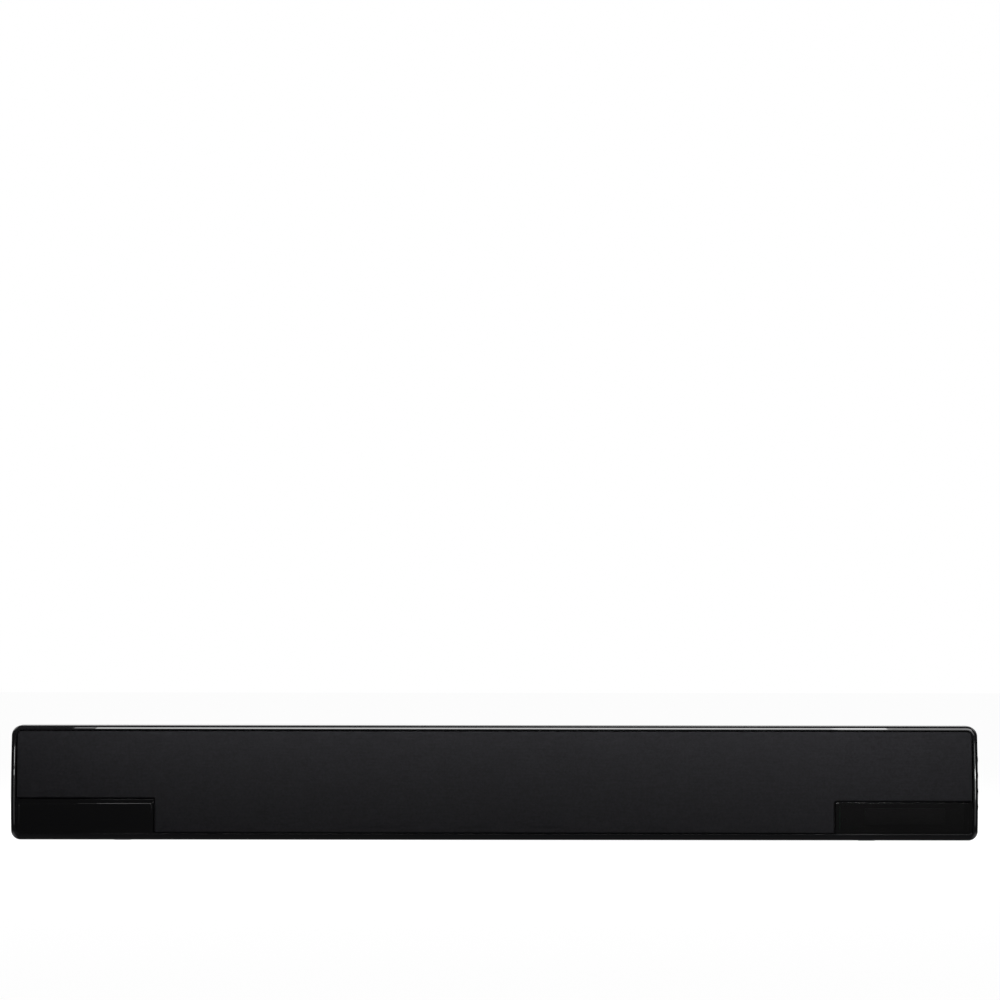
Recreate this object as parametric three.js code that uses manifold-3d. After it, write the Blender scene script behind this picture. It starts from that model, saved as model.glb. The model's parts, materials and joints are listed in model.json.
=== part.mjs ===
// Under-television soundbar: a long cabinet with a glossy rounded front frame, a pull-off cloth grille,
// two glossy lower corner plates (the right one is a smoked display window), four push buttons in the
// right end cap, four 77 mm woofers and two dome tweeters on an inner baffle, rear-firing reflex ports,
// a recessed terminal bay, keyhole hangers and threaded bracket pads at the back.
// Millimetres. +Z up, the front faces -Y, +X is the right-hand end seen from the front.
import * as THREE from "three";
import { mergeVertices } from "three/addons/utils/BufferGeometryUtils.js";
import Module from "manifold-3d";

const wasm = await Module();
wasm.setup();

// ---------------------------------------------------------------- driving dimensions
const HALF_WIDTH = 512; // widest half width of the front outline
const FRAME_H = 121.2; // height of the front outline
const FRONT_Y = -50;
const REAR_Y = 50;
const FOOT_H = 1.0; // the frame's lower edge stands this far above the feet
const R_TOP = 11.5; // upper corner radius of the front outline
const R_BOT = 10; // lower corner radius
const SEAM_Y = -30; // rear edge of the front frame
const LIP = 6.4; // width of the rounded front lip
const WALL = 3;
const CAP_X = 494; // inner edge of each end cap
const GAP = 0.3; // clearance between neighbouring pieces
const BAFFLE_Y = -36; // front face of the baffle
const BAFFLE_T = 4;
const DRIVER_Z = 61.6;
const WOOFER_X = [-310, -215, 215, 310];
const TWEETER_X = [-433, 433];
const TWEETER_Z = 86;
const PORT_X = 440;
const KEY_X = 330;
const PAD_X = 125;
const PARTITION_X = 140;
const BUTTON_Z = [85.6, 69.0, 52.4, 35.8];
const BUTTON_Y = -14;
const BUTTON_R = 5;
const BUTTON_PROUD = 1.9;
const PLATE_EDGE_X = 361; // inner edge of each corner plate
const PLATE_TOP = { left: 43.8, right: 41.0 };
const NOTCH_X = 359.7; // inner edge of each notch in the grille
const NOTCH_TOP = { left: 45.0, right: 42.2 };
const SCREWS = [
  [-230, 14],
  [-230, 109],
  [230, 14],
  [230, 109],
  [-482, DRIVER_Z],
  [482, DRIVER_Z],
];
const SEG = 14; // sides of the round driver parts

const ZB = FOOT_H;
const ZT = FOOT_H + FRAME_H;

// ---------------------------------------------------------------- solids
function solid(geometry) {
  const g = geometry.index ? geometry.toNonIndexed() : geometry.clone();
  for (const name of Object.keys(g.attributes))
    if (name !== "position") g.deleteAttribute(name);
  const m = mergeVertices(g, 1e-4);
  const index = m.index.array;
  const tri = [];
  for (let i = 0; i < index.length; i += 3) {
    const [a, b, c] = [index[i], index[i + 1], index[i + 2]];
    if (a !== b && b !== c && a !== c) tri.push(a, b, c);
  }
  const make = (t) =>
    new wasm.Manifold(
      new wasm.Mesh({
        numProp: 3,
        vertProperties: m.attributes.position.array,
        triVerts: new Uint32Array(t),
      }),
    );
  const made = make(tri);
  if (made.volume() >= 0) return made;
  const turned = [];
  for (let i = 0; i < tri.length; i += 3)
    turned.push(tri[i], tri[i + 2], tri[i + 1]);
  return make(turned);
}

function geometryOf(s) {
  const m = s.getMesh();
  const n = m.numProp;
  const v = new Float32Array(m.numVert * 3);
  for (let i = 0; i < m.numVert; i++)
    v.set(m.vertProperties.subarray(i * n, i * n + 3), i * 3);
  const g = new THREE.BufferGeometry();
  g.setAttribute("position", new THREE.BufferAttribute(v, 3));
  g.setIndex(new THREE.BufferAttribute(new Uint32Array(m.triVerts), 1));
  g.computeVertexNormals();
  return g;
}

const cut = (a, ...rest) => rest.reduce((s, b) => s.subtract(b), a);
const join = (a, ...rest) => rest.reduce((s, b) => s.add(b), a);

function box(x0, x1, y0, y1, z0, z1) {
  const g = new THREE.BoxGeometry(x1 - x0, y1 - y0, z1 - z0);
  g.translate((x0 + x1) / 2, (y0 + y1) / 2, (z0 + z1) / 2);
  return solid(g);
}

// A cylinder along Y, X or Z between two stations.
function rod(axis, r, a0, a1, p, q, sides = 14) {
  const g = new THREE.CylinderGeometry(r, r, a1 - a0, sides);
  if (axis === "X") g.rotateZ(-Math.PI / 2);
  if (axis === "Z") g.rotateX(Math.PI / 2);
  const mid = (a0 + a1) / 2;
  if (axis === "Y") g.translate(p, mid, q);
  if (axis === "X") g.translate(mid, p, q);
  if (axis === "Z") g.translate(p, q, mid);
  return solid(g);
}

// A profile of [radius, station] points turned about the Y axis.
function turned(points, sides = SEG) {
  return solid(
    new THREE.LatheGeometry(
      points.map(([r, y]) => new THREE.Vector2(r, y)),
      sides,
    ),
  );
}
const ring = (points, sides = SEG) => turned([...points, points[0]], sides);

// A polygon of [x, z] points extruded from y0 to y1.
function prism(points, y0, y1) {
  const shape = new THREE.Shape(
    points.map(([x, z]) => new THREE.Vector2(x, z)),
  );
  const g = new THREE.ExtrudeGeometry(shape, {
    depth: y1 - y0,
    bevelEnabled: false,
  });
  g.rotateX(Math.PI / 2);
  g.translate(0, y1, 0);
  return solid(g);
}

// Rows of points, all of one length, skinned into a closed body.
function skin(rows, closed) {
  const at = [];
  const n = rows[0].length;
  const m = rows.length;
  for (let i = 0; i < (closed ? m : m - 1); i++)
    for (let j = 0; j < n; j++) {
      const [a, b] = [rows[i][j], rows[i][(j + 1) % n]];
      const [c, d] = [rows[(i + 1) % m][(j + 1) % n], rows[(i + 1) % m][j]];
      at.push(...a, ...b, ...c, ...a, ...c, ...d);
    }
  if (!closed)
    for (const [row, turn] of [
      [rows[0], true],
      [rows[m - 1], false],
    ]) {
      const mid = [0, row[0][1], (ZB + ZT) / 2];
      for (let j = 0; j < n; j++) {
        const [a, b] = [row[j], row[(j + 1) % n]];
        at.push(...mid, ...(turn ? [...b, ...a] : [...a, ...b]));
      }
    }
  const g = new THREE.BufferGeometry();
  g.setAttribute("position", new THREE.Float32BufferAttribute(at, 3));
  return solid(g);
}

// ---------------------------------------------------------------- the front outline
// The sides are slightly bowed: widest about a third of the way up.
const Z_WIDE = 39;
function halfWidth(z) {
  return z > Z_WIDE
    ? HALF_WIDTH - 0.9 * ((z - Z_WIDE) / 73) ** 2
    : HALF_WIDTH - 0.3 * ((Z_WIDE - z) / 28) ** 2;
}
const BASE = (() => {
  const steps = 5;
  const right = [];
  const corner = (zc, r, from) => {
    const xc = halfWidth(zc) - r;
    for (let i = 0; i <= steps; i++) {
      const a = ((from + (90 * i) / steps) * Math.PI) / 180;
      right.push([
        xc + r * Math.cos(a),
        zc + r * Math.sin(a),
        Math.cos(a),
        Math.sin(a),
      ]);
    }
  };
  corner(ZB + R_BOT, R_BOT, -90);
  for (const z of [30, 52, 74, 94]) right.push([halfWidth(z), z, 1, 0]);
  corner(ZT - R_TOP, R_TOP, 0);
  const left = right.map(([x, z, nx, nz]) => [-x, z, -nx, nz]).reverse();
  return [...right, ...left];
})();
// The outline moved inwards by dx across and dz up and down, at station y.
const outline = (y, dx, dz = dx) =>
  BASE.map(([x, z, nx, nz]) => [x - dx * nx, y, z - dz * nz]);
const flat = (d) => outline(0, d).map(([x, , z]) => [x, z]);

// ---------------------------------------------------------------- cabinet
const FRAME_PROFILE = [
  [0, SEAM_Y],
  [0, -45.4],
  [0.6, -47.6],
  [2.2, -49.3],
  [5.0, FRONT_Y],
  [LIP, -49.4],
  [LIP, -38.3],
  [8.8, -38.3],
  [8.8, BAFFLE_Y - GAP],
  [4.4, BAFFLE_Y - GAP],
  [4.4, -46.6],
  [2.6, -44.6],
  [2.6, SEAM_Y],
];
const frontFrame = skin(
  FRAME_PROFILE.map(([d, y]) => outline(y, d)),
  true,
);

const CASE_OUT = [
  [SEAM_Y + GAP, 0, 0],
  [-18, -0.55, 0.4],
  [-4, -0.8, 0.9],
  [14, 0.2, 1.5],
  [36, 3.0, 2.4],
  [46, 5.4, 3.8],
  [REAR_Y, 9.0, 8.0],
];
const CASE_IN = [
  [SEAM_Y - 1, 3, 3],
  [-10, 2.3, 3.7],
  [14, 3.3, 4.6],
  [38, 6.5, 5.7],
  [46.8, 9.0, 8.2],
];
const caseOut = skin(
  CASE_OUT.map(([y, dx, dz]) => outline(y, dx, dz)),
  false,
);
const caseIn = skin(
  CASE_IN.map(([y, dx, dz]) => outline(y, dx, dz)),
  false,
);
const slab = (x0, x1) => box(x0, x1, -70, 70, -20, 150);

const chamber = (x0, x1) => caseIn.intersect(slab(x0, x1));
let rearShell = caseOut.intersect(slab(-(CAP_X - GAP), CAP_X - GAP));
rearShell = cut(
  rearShell,
  chamber(-(CAP_X - GAP - WALL), -(PARTITION_X + 1.5)),
  chamber(-(PARTITION_X - 1.5), PARTITION_X - 1.5),
  chamber(PARTITION_X + 1.5, CAP_X - GAP - WALL),
);
for (const s of [-1, 1]) {
  const kx = s * KEY_X;
  const px = s * PORT_X;
  const bx = s * PAD_X;
  // wire hole in each partition, clear of the boards
  rearShell = cut(
    rearShell,
    box(s * PARTITION_X - 3, s * PARTITION_X + 3, 15, 33, 48, 72),
  );
  // reflex port seat
  rearShell = join(rearShell, rod("Y", 28, 42, 48, px, DRIVER_Z, 18));
  rearShell = cut(
    rearShell,
    rod("Y", 18.5, 40, 52, px, DRIVER_Z, 18),
    rod("Y", 24.6, 47.2, 52, px, DRIVER_Z, 18),
  );
  // keyhole hanger pocket
  rearShell = join(rearShell, box(kx - 19, kx + 19, 37.5, 48, 36, 88));
  rearShell = cut(
    rearShell,
    box(kx - 15.4, kx + 15.4, 46.2, 52, 40.1, 83.9),
    box(kx - 11, kx + 11, 40.5, 47, 44, 80),
  );
  // threaded bracket pad
  for (const z of [DRIVER_Z - 20, DRIVER_Z + 20]) {
    rearShell = join(rearShell, rod("Y", 6, 36, 48, bx, z, 10));
    rearShell = cut(rearShell, rod("Y", 2.1, 38, 52, bx, z, 10));
  }
}
// terminal bay
rearShell = join(rearShell, box(-99, 99, 37, 48, 26, 84));
rearShell = cut(
  rearShell,
  box(-91, 91, 30, 40, 34, 76),
  box(-95.5, 95.5, 38.7, 52, 29.5, 80.5),
);
// case screw seats
for (const [x, z] of SCREWS) {
  rearShell = join(rearShell, rod("Y", 6.5, 40, 48, x, z, 10));
  rearShell = cut(
    rearShell,
    rod("Y", 4.4, 43, 52, x, z, 10),
    rod("Y", 2.0, 38, 45, x, z, 10),
  );
}
// vents over the bay, board posts, wire hole to the button board
for (let i = -5; i <= 5; i++)
  rearShell = cut(
    rearShell,
    box(i * 12 - 1.7, i * 12 + 1.7, 44, 54, 91.5, 105.5),
  );
for (const x of [-128, -54, -36, 126])
  rearShell = join(rearShell, box(x - 3, x + 3, 0, 6, 4.2, 42.7));

let leftCap = cut(
  caseOut.intersect(slab(-600, -CAP_X)),
  caseIn.intersect(slab(-600, -(CAP_X - 1))),
);
let rightCap = cut(
  caseOut.intersect(slab(CAP_X, 600)),
  caseIn.intersect(slab(CAP_X - 1, 600)),
);
for (const z of BUTTON_Z)
  rightCap = cut(
    rightCap,
    rod("X", BUTTON_R + 0.35, 500, 520, BUTTON_Y, z, 12),
  );

// ---------------------------------------------------------------- baffle
const PEGS = [
  [-484, 109.3],
  [484, 109.3],
  [0, 109.3],
  [-167.5, 13.2],
  [167.5, 13.2],
  [-371.5, 54],
  [371.5, 54],
];
const CABLE_HOLE = [432, 25];
let baffle = prism(flat(2.9), BAFFLE_Y, BAFFLE_Y + BAFFLE_T);
for (const [x, z] of SCREWS)
  baffle = join(baffle, rod("Y", 4.2, BAFFLE_Y + 2, 39.6, x, z, 8));
for (const [x, z] of SCREWS)
  baffle = cut(baffle, rod("Y", 1.9, 18, 42, x, z, 8));
for (const x of WOOFER_X)
  baffle = cut(baffle, rod("Y", 35.2, -50, -20, x, DRIVER_Z, SEG));
for (const x of TWEETER_X)
  baffle = cut(baffle, rod("Y", 15.6, -50, -20, x, TWEETER_Z, 14));
for (const [x, z] of PEGS)
  baffle = cut(baffle, rod("Y", 3.1, -50, -20, x, z, 8));
baffle = cut(baffle, rod("Y", 3.2, -50, -20, ...CABLE_HOLE, 8));

// ---------------------------------------------------------------- grille
// A cloth tray stretched over a lattice frame; each lower corner is notched for its plate.
function grilleBlock(d, y0, y1) {
  const m = d - 7.4;
  return cut(
    prism(flat(d), y0, y1),
    box(-560, -(NOTCH_X - m), -70, 0, -10, NOTCH_TOP.left + m),
    box(NOTCH_X - m, 560, -70, 0, -10, NOTCH_TOP.right + m),
  );
}
const cloth = cut(grilleBlock(7.4, -48.6, -43), grilleBlock(8.4, -47.6, -42));
let lattice = grilleBlock(8.7, -47.3, -43.2);
const WINDOWS = [
  [-478, -388],
  [-355, -265],
  [-260, -170],
  [-165, -85],
  [-80, -2.5],
  [2.5, 80],
  [85, 165],
  [170, 260],
  [265, 355],
  [388, 478],
];
for (const [a, b] of WINDOWS)
  lattice = cut(lattice, box(a, b, -60, -30, Math.abs(a + b) > 800 ? 52 : 17, 106));
for (const [x, z] of PEGS)
  lattice = join(lattice, rod("Y", 2.5, -45, -33.4, x, z, 8));

// ---------------------------------------------------------------- corner plates and display
function cornerPlate(side) {
  const s = side === "left" ? -1 : 1;
  const top = PLATE_TOP[side];
  const body = skin(
    [
      outline(-49.4, 8.0),
      outline(-48.2, 6.8),
      outline(-38.7, 6.8),
    ],
    false,
  );
  const inner = prism(flat(8.8), -47.2, -37);
  const keep = (m) =>
    s < 0
      ? box(-560, -PLATE_EDGE_X - m, -60, -30, -10, top - m)
      : box(PLATE_EDGE_X + m, 560, -60, -30, -10, top - m);
  const chamfer = (g, x, z) => {
    g.translate(x, -49.4, z);
    return solid(g);
  };
  const along = new THREE.BoxGeometry(400, 2.4, 2.4).rotateX(Math.PI / 4);
  const upright = new THREE.BoxGeometry(2.4, 2.4, 200).rotateZ(Math.PI / 4);
  return cut(
    body.intersect(keep(0)),
    inner.intersect(keep(2)),
    chamfer(along, s * 430, top),
    chamfer(upright, s * PLATE_EDGE_X, 30),
  );
}
const leftPlate = cornerPlate("left");
const rightPlate = cornerPlate("right");
const displayModule = join(
  box(365, 492, -42.6, -41, 12.5, 37.5),
  box(393, 477, -46.7, -42, 18.4, 34.8),
  box(366, 373, -46.5, -42, 19, 27),
);

// ---------------------------------------------------------------- drivers, about the Y axis, station 0 = the baffle's face
const basket = ring([
  [38.5, -0.3],
  [38.5, -4.0],
  [35.6, -4.0],
  [35.6, -1.4],
  [32.4, -1.4],
  [31.6, 6.0],
  [19.6, 21.8],
  [13.0, 21.8],
  [13.0, 23.8],
  [21.2, 23.8],
  [34.2, 6.6],
  [34.2, -0.3],
]);
const surround = ring([
  [35.2, -1.7],
  [34.6, -4.4],
  [32.2, -5.6],
  [29.8, -4.4],
  [29.4, 1.2],
  [30.2, 1.2],
  [30.6, -3.8],
  [32.2, -4.6],
  [33.6, -1.7],
]);
const cone = turned([
  [0, 9.2],
  [6.6, 10.4],
  [10.8, 13.6],
  [28.95, 0.6],
  [28.95, 1.8],
  [11.2, 15.2],
  [10.9, 28.2],
  [9.9, 28.2],
  [9.9, 14.8],
  [0, 10.8],
]);
const magnet = turned([
  [0, 20],
  [9.3, 20],
  [9.3, 34.5],
  [11.9, 34.5],
  [11.9, 24.2],
  [26, 24.2],
  [26, 38],
  [0, 38],
]);
const tweeterBody = turned([
  [0, 1.0],
  [11.6, 1.0],
  [11.6, -1.0],
  [14.5, -2.8],
  [23.2, -3.0],
  [24, -2.4],
  [24, -0.3],
  [15, -0.3],
  [15, 16],
  [0, 16],
]);
const tweeterDome = turned([
  [0, -3.3],
  [5.2, -2.4],
  [9.0, -0.2],
  [11.2, -0.5],
  [11.2, 0.6],
  [0, 0.6],
]);

// ---------------------------------------------------------------- ports, hangers, terminals
const port = ring(
  [
    [15.0, 3],
    [18, 3],
    [18, 47.6],
    [24.2, 47.6],
    [24.2, 49.6],
    [18.8, 49.2],
    [15.9, 46.8],
    [15.0, 43],
  ],
  18,
);
const hanger = cut(
  box(-15, 15, 46.5, 48, 40.5, 83.5),
  rod("Y", 4.8, 44, 50, 0, 52, 14),
  box(-2.5, 2.5, 44, 50, 52, 70),
  rod("Y", 2.5, 44, 50, 0, 70, 12),
);
const INLET_X = -75;
const inlet = join(
  cut(
    box(INLET_X - 12, INLET_X + 12, 20, 43, 45, 61),
    rod("Y", 4.4, 32, 44, INLET_X - 4.3, 53, 12),
    rod("Y", 4.4, 32, 44, INLET_X + 4.3, 53, 12),
    box(INLET_X - 4.3, INLET_X + 4.3, 32, 44, 49.4, 56.6),
  ),
  rod("Y", 1.2, 31, 41, INLET_X - 4.3, 53, 8),
  rod("Y", 1.2, 31, 41, INLET_X + 4.3, 53, 8),
);
const optical = cut(
  box(-38, -24, 24, 43, 45, 58),
  box(-34.6, -27.4, 39.5, 44, 47.9, 55.1),
);
const phono = (x) =>
  cut(
    rod("Y", 4.15, 41, 49.4, x, 51.5, 12),
    rod("Y", 1.75, 43, 51, x, 51.5, 8),
  );
const auxBlock = join(
  box(0, 44, 24, 41.9, 45, 58),
  phono(8),
  phono(22),
  phono(36),
);
const subJack = join(box(62, 76, 24, 41.9, 45, 58), phono(69));
const terminalPlate = cut(
  box(-95, 95, 39.1, 41, 30, 80),
  box(INLET_X - 12.4, INLET_X + 12.4, 37, 43, 44.6, 61.4),
  box(-38.4, -23.6, 37, 43, 44.6, 58.4),
  box(-0.4, 44.4, 37, 43, 44.6, 58.4),
  box(61.6, 76.4, 37, 43, 44.6, 58.4),
);

// ---------------------------------------------------------------- electronics
const powerBoard = box(-132, -50, -24, 35.4, 43, 44.6);
const ampBoard = box(-44, 132, -24, 35.4, 43, 44.6);
const transformer = join(
  box(-126, -92, -9, 9, 45, 77),
  box(-122, -96, -15, 15, 50, 72),
);
const capacitor = rod("Z", 9, 45, 76, -68, -8, 16);
let heatSink = box(70, 126, -20, 10, 45, 49);
for (let i = 0; i < 7; i++)
  heatSink = join(heatSink, box(70 + i * 9, 72 + i * 9, -20, 10, 48, 76));
let buttonBoard = join(
  box(496.6, 498.2, -24, -4, 24, 98),
  box(494.1, 497, -22, -18, 28, 32),
  box(494.1, 497, -22, -18, 90, 94),
);
for (const z of BUTTON_Z)
  buttonBoard = join(
    buttonBoard,
    box(498, 500.4, BUTTON_Y - 3, BUTTON_Y + 3, z - 3, z + 3),
    rod("X", 1.7, 500, 501.6, BUTTON_Y, z, 6),
  );

// ---------------------------------------------------------------- leads
function lead(points, r, steps) {
  const curve = new THREE.CatmullRomCurve3(
    points.map((p) => new THREE.Vector3(...p)),
    false,
    "centripetal",
  );
  const shape = new THREE.Shape();
  for (let i = 0; i < 6; i++) {
    const a = (i / 6) * Math.PI * 2;
    if (i === 0) shape.moveTo(r * Math.cos(a), r * Math.sin(a));
    else shape.lineTo(r * Math.cos(a), r * Math.sin(a));
  }
  shape.closePath();
  return solid(
    new THREE.ExtrudeGeometry(shape, {
      steps,
      bevelEnabled: false,
      extrudePath: curve,
    }),
  );
}
const leadRight = lead(
  [
    [110, 20, 47],
    [122, 22, 52],
    [140, 23, 55],
    [200, 22, 56],
    [248, 19, 58],
    [262, 6, 61],
    [262.5, -10, 61.6],
  ],
  1.3,
  15,
);
const leadLeft = lead(
  [
    [-36, 10, 47],
    [-44, 17, 60],
    [-60, 24, 67],
    [-110, 26, 67],
    [-140, 24, 62],
    [-200, 22, 58],
    [-248, 19, 59],
    [-262, 6, 61],
    [-262.5, -10, 61.6],
  ],
  1.3,
  20,
);
const displayLead = lead(
  [
    [90, 22, 47],
    [97, 26, 58],
    [110, 29, 66],
    [140, 29, 66],
    [230, 30, 62],
    [320, 28, 48],
    [380, 22, 34],
    [420, 4, 26],
    [432, -16, 25],
    [432, -40.4, 25],
  ],
  1.6,
  26,
);

// ---------------------------------------------------------------- buttons, feet, screws
const button = turned(
  [
    [0, -9.6],
    [2.2, -9.6],
    [2.2, -5.2],
    [6.2, -5.2],
    [6.2, -3.9],
    [BUTTON_R, -3.8],
    [BUTTON_R, 0.9],
    [3.9, 1.6],
    [0, BUTTON_PROUD],
  ],
  12,
);
const FOOT_X = 395;
const foot = (() => {
  const under = CASE_OUT.filter(([y]) => y > -20 && y < 41);
  const points = [
    [-24, 0],
    [38, 0],
    [38, ZB + 2.5 - 0.35],
    ...under
      .filter(([y]) => y < 38)
      .reverse()
      .map(([y, , dz]) => [y, ZB + dz - 0.35]),
    [-24, ZB + 0.2 - 0.35],
  ];
  const shape = new THREE.Shape(
    points.map(([y, z]) => new THREE.Vector2(y, z)),
  );
  const g = new THREE.ExtrudeGeometry(shape, {
    depth: 18,
    bevelEnabled: false,
  });
  // shape x -> Y, shape y -> Z, extrusion -> X
  g.applyMatrix4(
    new THREE.Matrix4().makeBasis(
      new THREE.Vector3(0, 1, 0),
      new THREE.Vector3(0, 0, 1),
      new THREE.Vector3(1, 0, 0),
    ),
  );
  g.translate(-9, 0, 0);
  return solid(g);
})();
const screw = turned(
  [
    [0, 26],
    [1.5, 27.5],
    [1.5, 43.3],
    [3.8, 43.3],
    [3.8, 45.0],
    [2.8, 45.8],
    [0, 45.8],
  ],
  8,
);

// ---------------------------------------------------------------- materials
const material = (color, roughness, metalness = 0) =>
  new THREE.MeshStandardMaterial({ color, roughness, metalness });
const GLOSS = material(0x0b0b0d, 0.12);
const SATIN = material(0x17171a, 0.55);
const CLOTH = material(0x232326, 0.95);
const INNER = material(0x1c1c1e, 0.7);
const SMOKED = material(0x0e0e0f, 0.06);
const RUBBER = material(0x141414, 0.85);
const PAPER = material(0x242426, 0.85);
const STEEL = material(0x8d9094, 0.35, 1);
const FERRITE = material(0x2c2c2e, 0.5, 0.4);
const ALUMINIUM = material(0xb6b8bb, 0.4, 1);
const BOARD = material(0x0f4a2a, 0.5);
const LAMINATE = material(0xc9a545, 0.5);
const SOCKET = material(0x151515, 0.4);
const SILK = material(0x3a3a3e, 0.7);
const WIRE = material(0x8c1414, 0.5);

// ---------------------------------------------------------------- assembly
const root = new THREE.Group();
// The buttons stand proud of the right end only, so the cabinet is set over to centre the whole part.
const cabinet = new THREE.Group();
root.add(cabinet);

function add(name, s, mat, group = cabinet, at = [0, 0, 0]) {
  const mesh = new THREE.Mesh(s instanceof THREE.BufferGeometry ? s : geometryOf(s), mat);
  mesh.name = name;
  mesh.position.set(...at);
  group.add(mesh);
  return mesh;
}

add("front_frame", frontFrame, GLOSS);
add("rear_shell", rearShell, SATIN);
add("left_end_cap", leftCap, GLOSS);
add("right_end_cap", rightCap, GLOSS);
add("baffle", baffle, INNER);
add("left_corner_plate", leftPlate, GLOSS);
add("display_window", rightPlate, SMOKED);
add("display_module", displayModule, INNER);

const grille = new THREE.Group();
cabinet.add(grille);
add("grille_frame", lattice, INNER, grille);
add("grille_cloth", cloth, CLOTH, grille);

const parts = {
  basket: geometryOf(basket),
  surround: geometryOf(surround),
  cone: geometryOf(cone),
  magnet: geometryOf(magnet),
  tweeterBody: geometryOf(tweeterBody),
  tweeterDome: geometryOf(tweeterDome),
  port: geometryOf(port),
  hanger: geometryOf(hanger),
  button: geometryOf(button),
  foot: geometryOf(foot),
  screw: geometryOf(screw),
};
WOOFER_X.forEach((x, i) => {
  const driver = new THREE.Group();
  driver.position.set(x, BAFFLE_Y, DRIVER_Z);
  cabinet.add(driver);
  const n = `woofer_${i + 1}`;
  add(`${n}_basket`, parts.basket, STEEL, driver);
  add(`${n}_magnet`, parts.magnet, FERRITE, driver);
  add(`${n}_surround`, parts.surround, RUBBER, driver);
  add(`${n}_cone`, parts.cone, PAPER, driver);
});
TWEETER_X.forEach((x, i) => {
  const driver = new THREE.Group();
  driver.position.set(x, BAFFLE_Y, TWEETER_Z);
  cabinet.add(driver);
  const side = i ? "right" : "left";
  add(`tweeter_${side}_body`, parts.tweeterBody, SATIN, driver);
  add(`tweeter_${side}_dome`, parts.tweeterDome, SILK, driver);
});
for (const [side, s] of [
  ["left", -1],
  ["right", 1],
]) {
  add(`reflex_port_${side}`, parts.port, SATIN, cabinet, [s * PORT_X, 0, DRIVER_Z]);
  add(`keyhole_hanger_${side}`, parts.hanger, STEEL, cabinet, [s * KEY_X, 0, 0]);
  add(`foot_${side}`, parts.foot, RUBBER, cabinet, [s * FOOT_X, 0, 0]);
}
add("terminal_plate", terminalPlate, SATIN);
add("mains_inlet", inlet, SOCKET);
add("optical_socket", optical, SOCKET);
add("aux_jack_block", auxBlock, SOCKET);
add("sub_out_jack", subJack, SOCKET);
add("power_board", powerBoard, LAMINATE);
add("amplifier_board", ampBoard, BOARD);
add("transformer", transformer, LAMINATE);
add("reservoir_capacitor", capacitor, SOCKET);
add("heat_sink", heatSink, ALUMINIUM);
add("button_board", buttonBoard, BOARD);
add("speaker_lead_left", leadLeft, WIRE);
add("speaker_lead_right", leadRight, WIRE);
add("display_lead", displayLead, INNER);

["power", "source", "volume_up", "volume_down"].forEach((name, i) => {
  const z = BUTTON_Z[i];
  const mesh = add(`button_${name}`, parts.button, GLOSS, cabinet, [
    halfWidth(z) + 0.65,
    BUTTON_Y,
    z,
  ]);
  mesh.rotation.z = -Math.PI / 2;
});
SCREWS.forEach(([x, z], i) => {
  add(`case_screw_${i + 1}`, parts.screw, STEEL, cabinet, [x, 0, z]);
});

// centre the part's box on X
const bounds = new THREE.Box3().setFromObject(root, true);
cabinet.position.x = -(bounds.min.x + bounds.max.x) / 2;

export default root;
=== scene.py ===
import json
import math
import random

import bmesh
import bpy
import numpy as np
from mathutils import Matrix, Quaternion, Vector
from mathutils.geometry import delaunay_2d_cdt

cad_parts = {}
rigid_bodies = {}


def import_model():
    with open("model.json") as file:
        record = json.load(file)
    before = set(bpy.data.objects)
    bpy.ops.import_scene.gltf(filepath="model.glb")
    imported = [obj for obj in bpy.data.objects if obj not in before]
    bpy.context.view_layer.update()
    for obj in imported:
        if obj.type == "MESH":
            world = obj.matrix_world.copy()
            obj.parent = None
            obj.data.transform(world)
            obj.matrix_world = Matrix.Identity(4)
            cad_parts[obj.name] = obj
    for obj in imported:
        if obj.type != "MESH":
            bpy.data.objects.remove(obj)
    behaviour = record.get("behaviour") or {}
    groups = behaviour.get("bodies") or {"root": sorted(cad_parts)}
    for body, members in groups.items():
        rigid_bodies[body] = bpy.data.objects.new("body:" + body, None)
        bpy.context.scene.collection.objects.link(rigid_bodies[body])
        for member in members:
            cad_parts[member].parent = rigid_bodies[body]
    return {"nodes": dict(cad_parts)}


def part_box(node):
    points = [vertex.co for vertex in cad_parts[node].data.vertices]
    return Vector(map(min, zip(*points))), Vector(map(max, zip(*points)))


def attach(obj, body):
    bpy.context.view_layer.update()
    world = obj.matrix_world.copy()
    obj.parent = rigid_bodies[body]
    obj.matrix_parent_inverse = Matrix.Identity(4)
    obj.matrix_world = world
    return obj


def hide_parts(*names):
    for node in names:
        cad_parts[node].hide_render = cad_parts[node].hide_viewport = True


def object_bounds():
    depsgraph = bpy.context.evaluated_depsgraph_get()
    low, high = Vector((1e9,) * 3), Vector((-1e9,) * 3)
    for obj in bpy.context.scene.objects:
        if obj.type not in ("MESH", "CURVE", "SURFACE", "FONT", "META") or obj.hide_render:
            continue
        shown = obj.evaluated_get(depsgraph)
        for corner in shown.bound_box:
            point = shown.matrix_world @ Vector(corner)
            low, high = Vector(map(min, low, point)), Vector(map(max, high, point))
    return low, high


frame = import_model()
CAD_BOX = [list(v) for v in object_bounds()]

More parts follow.
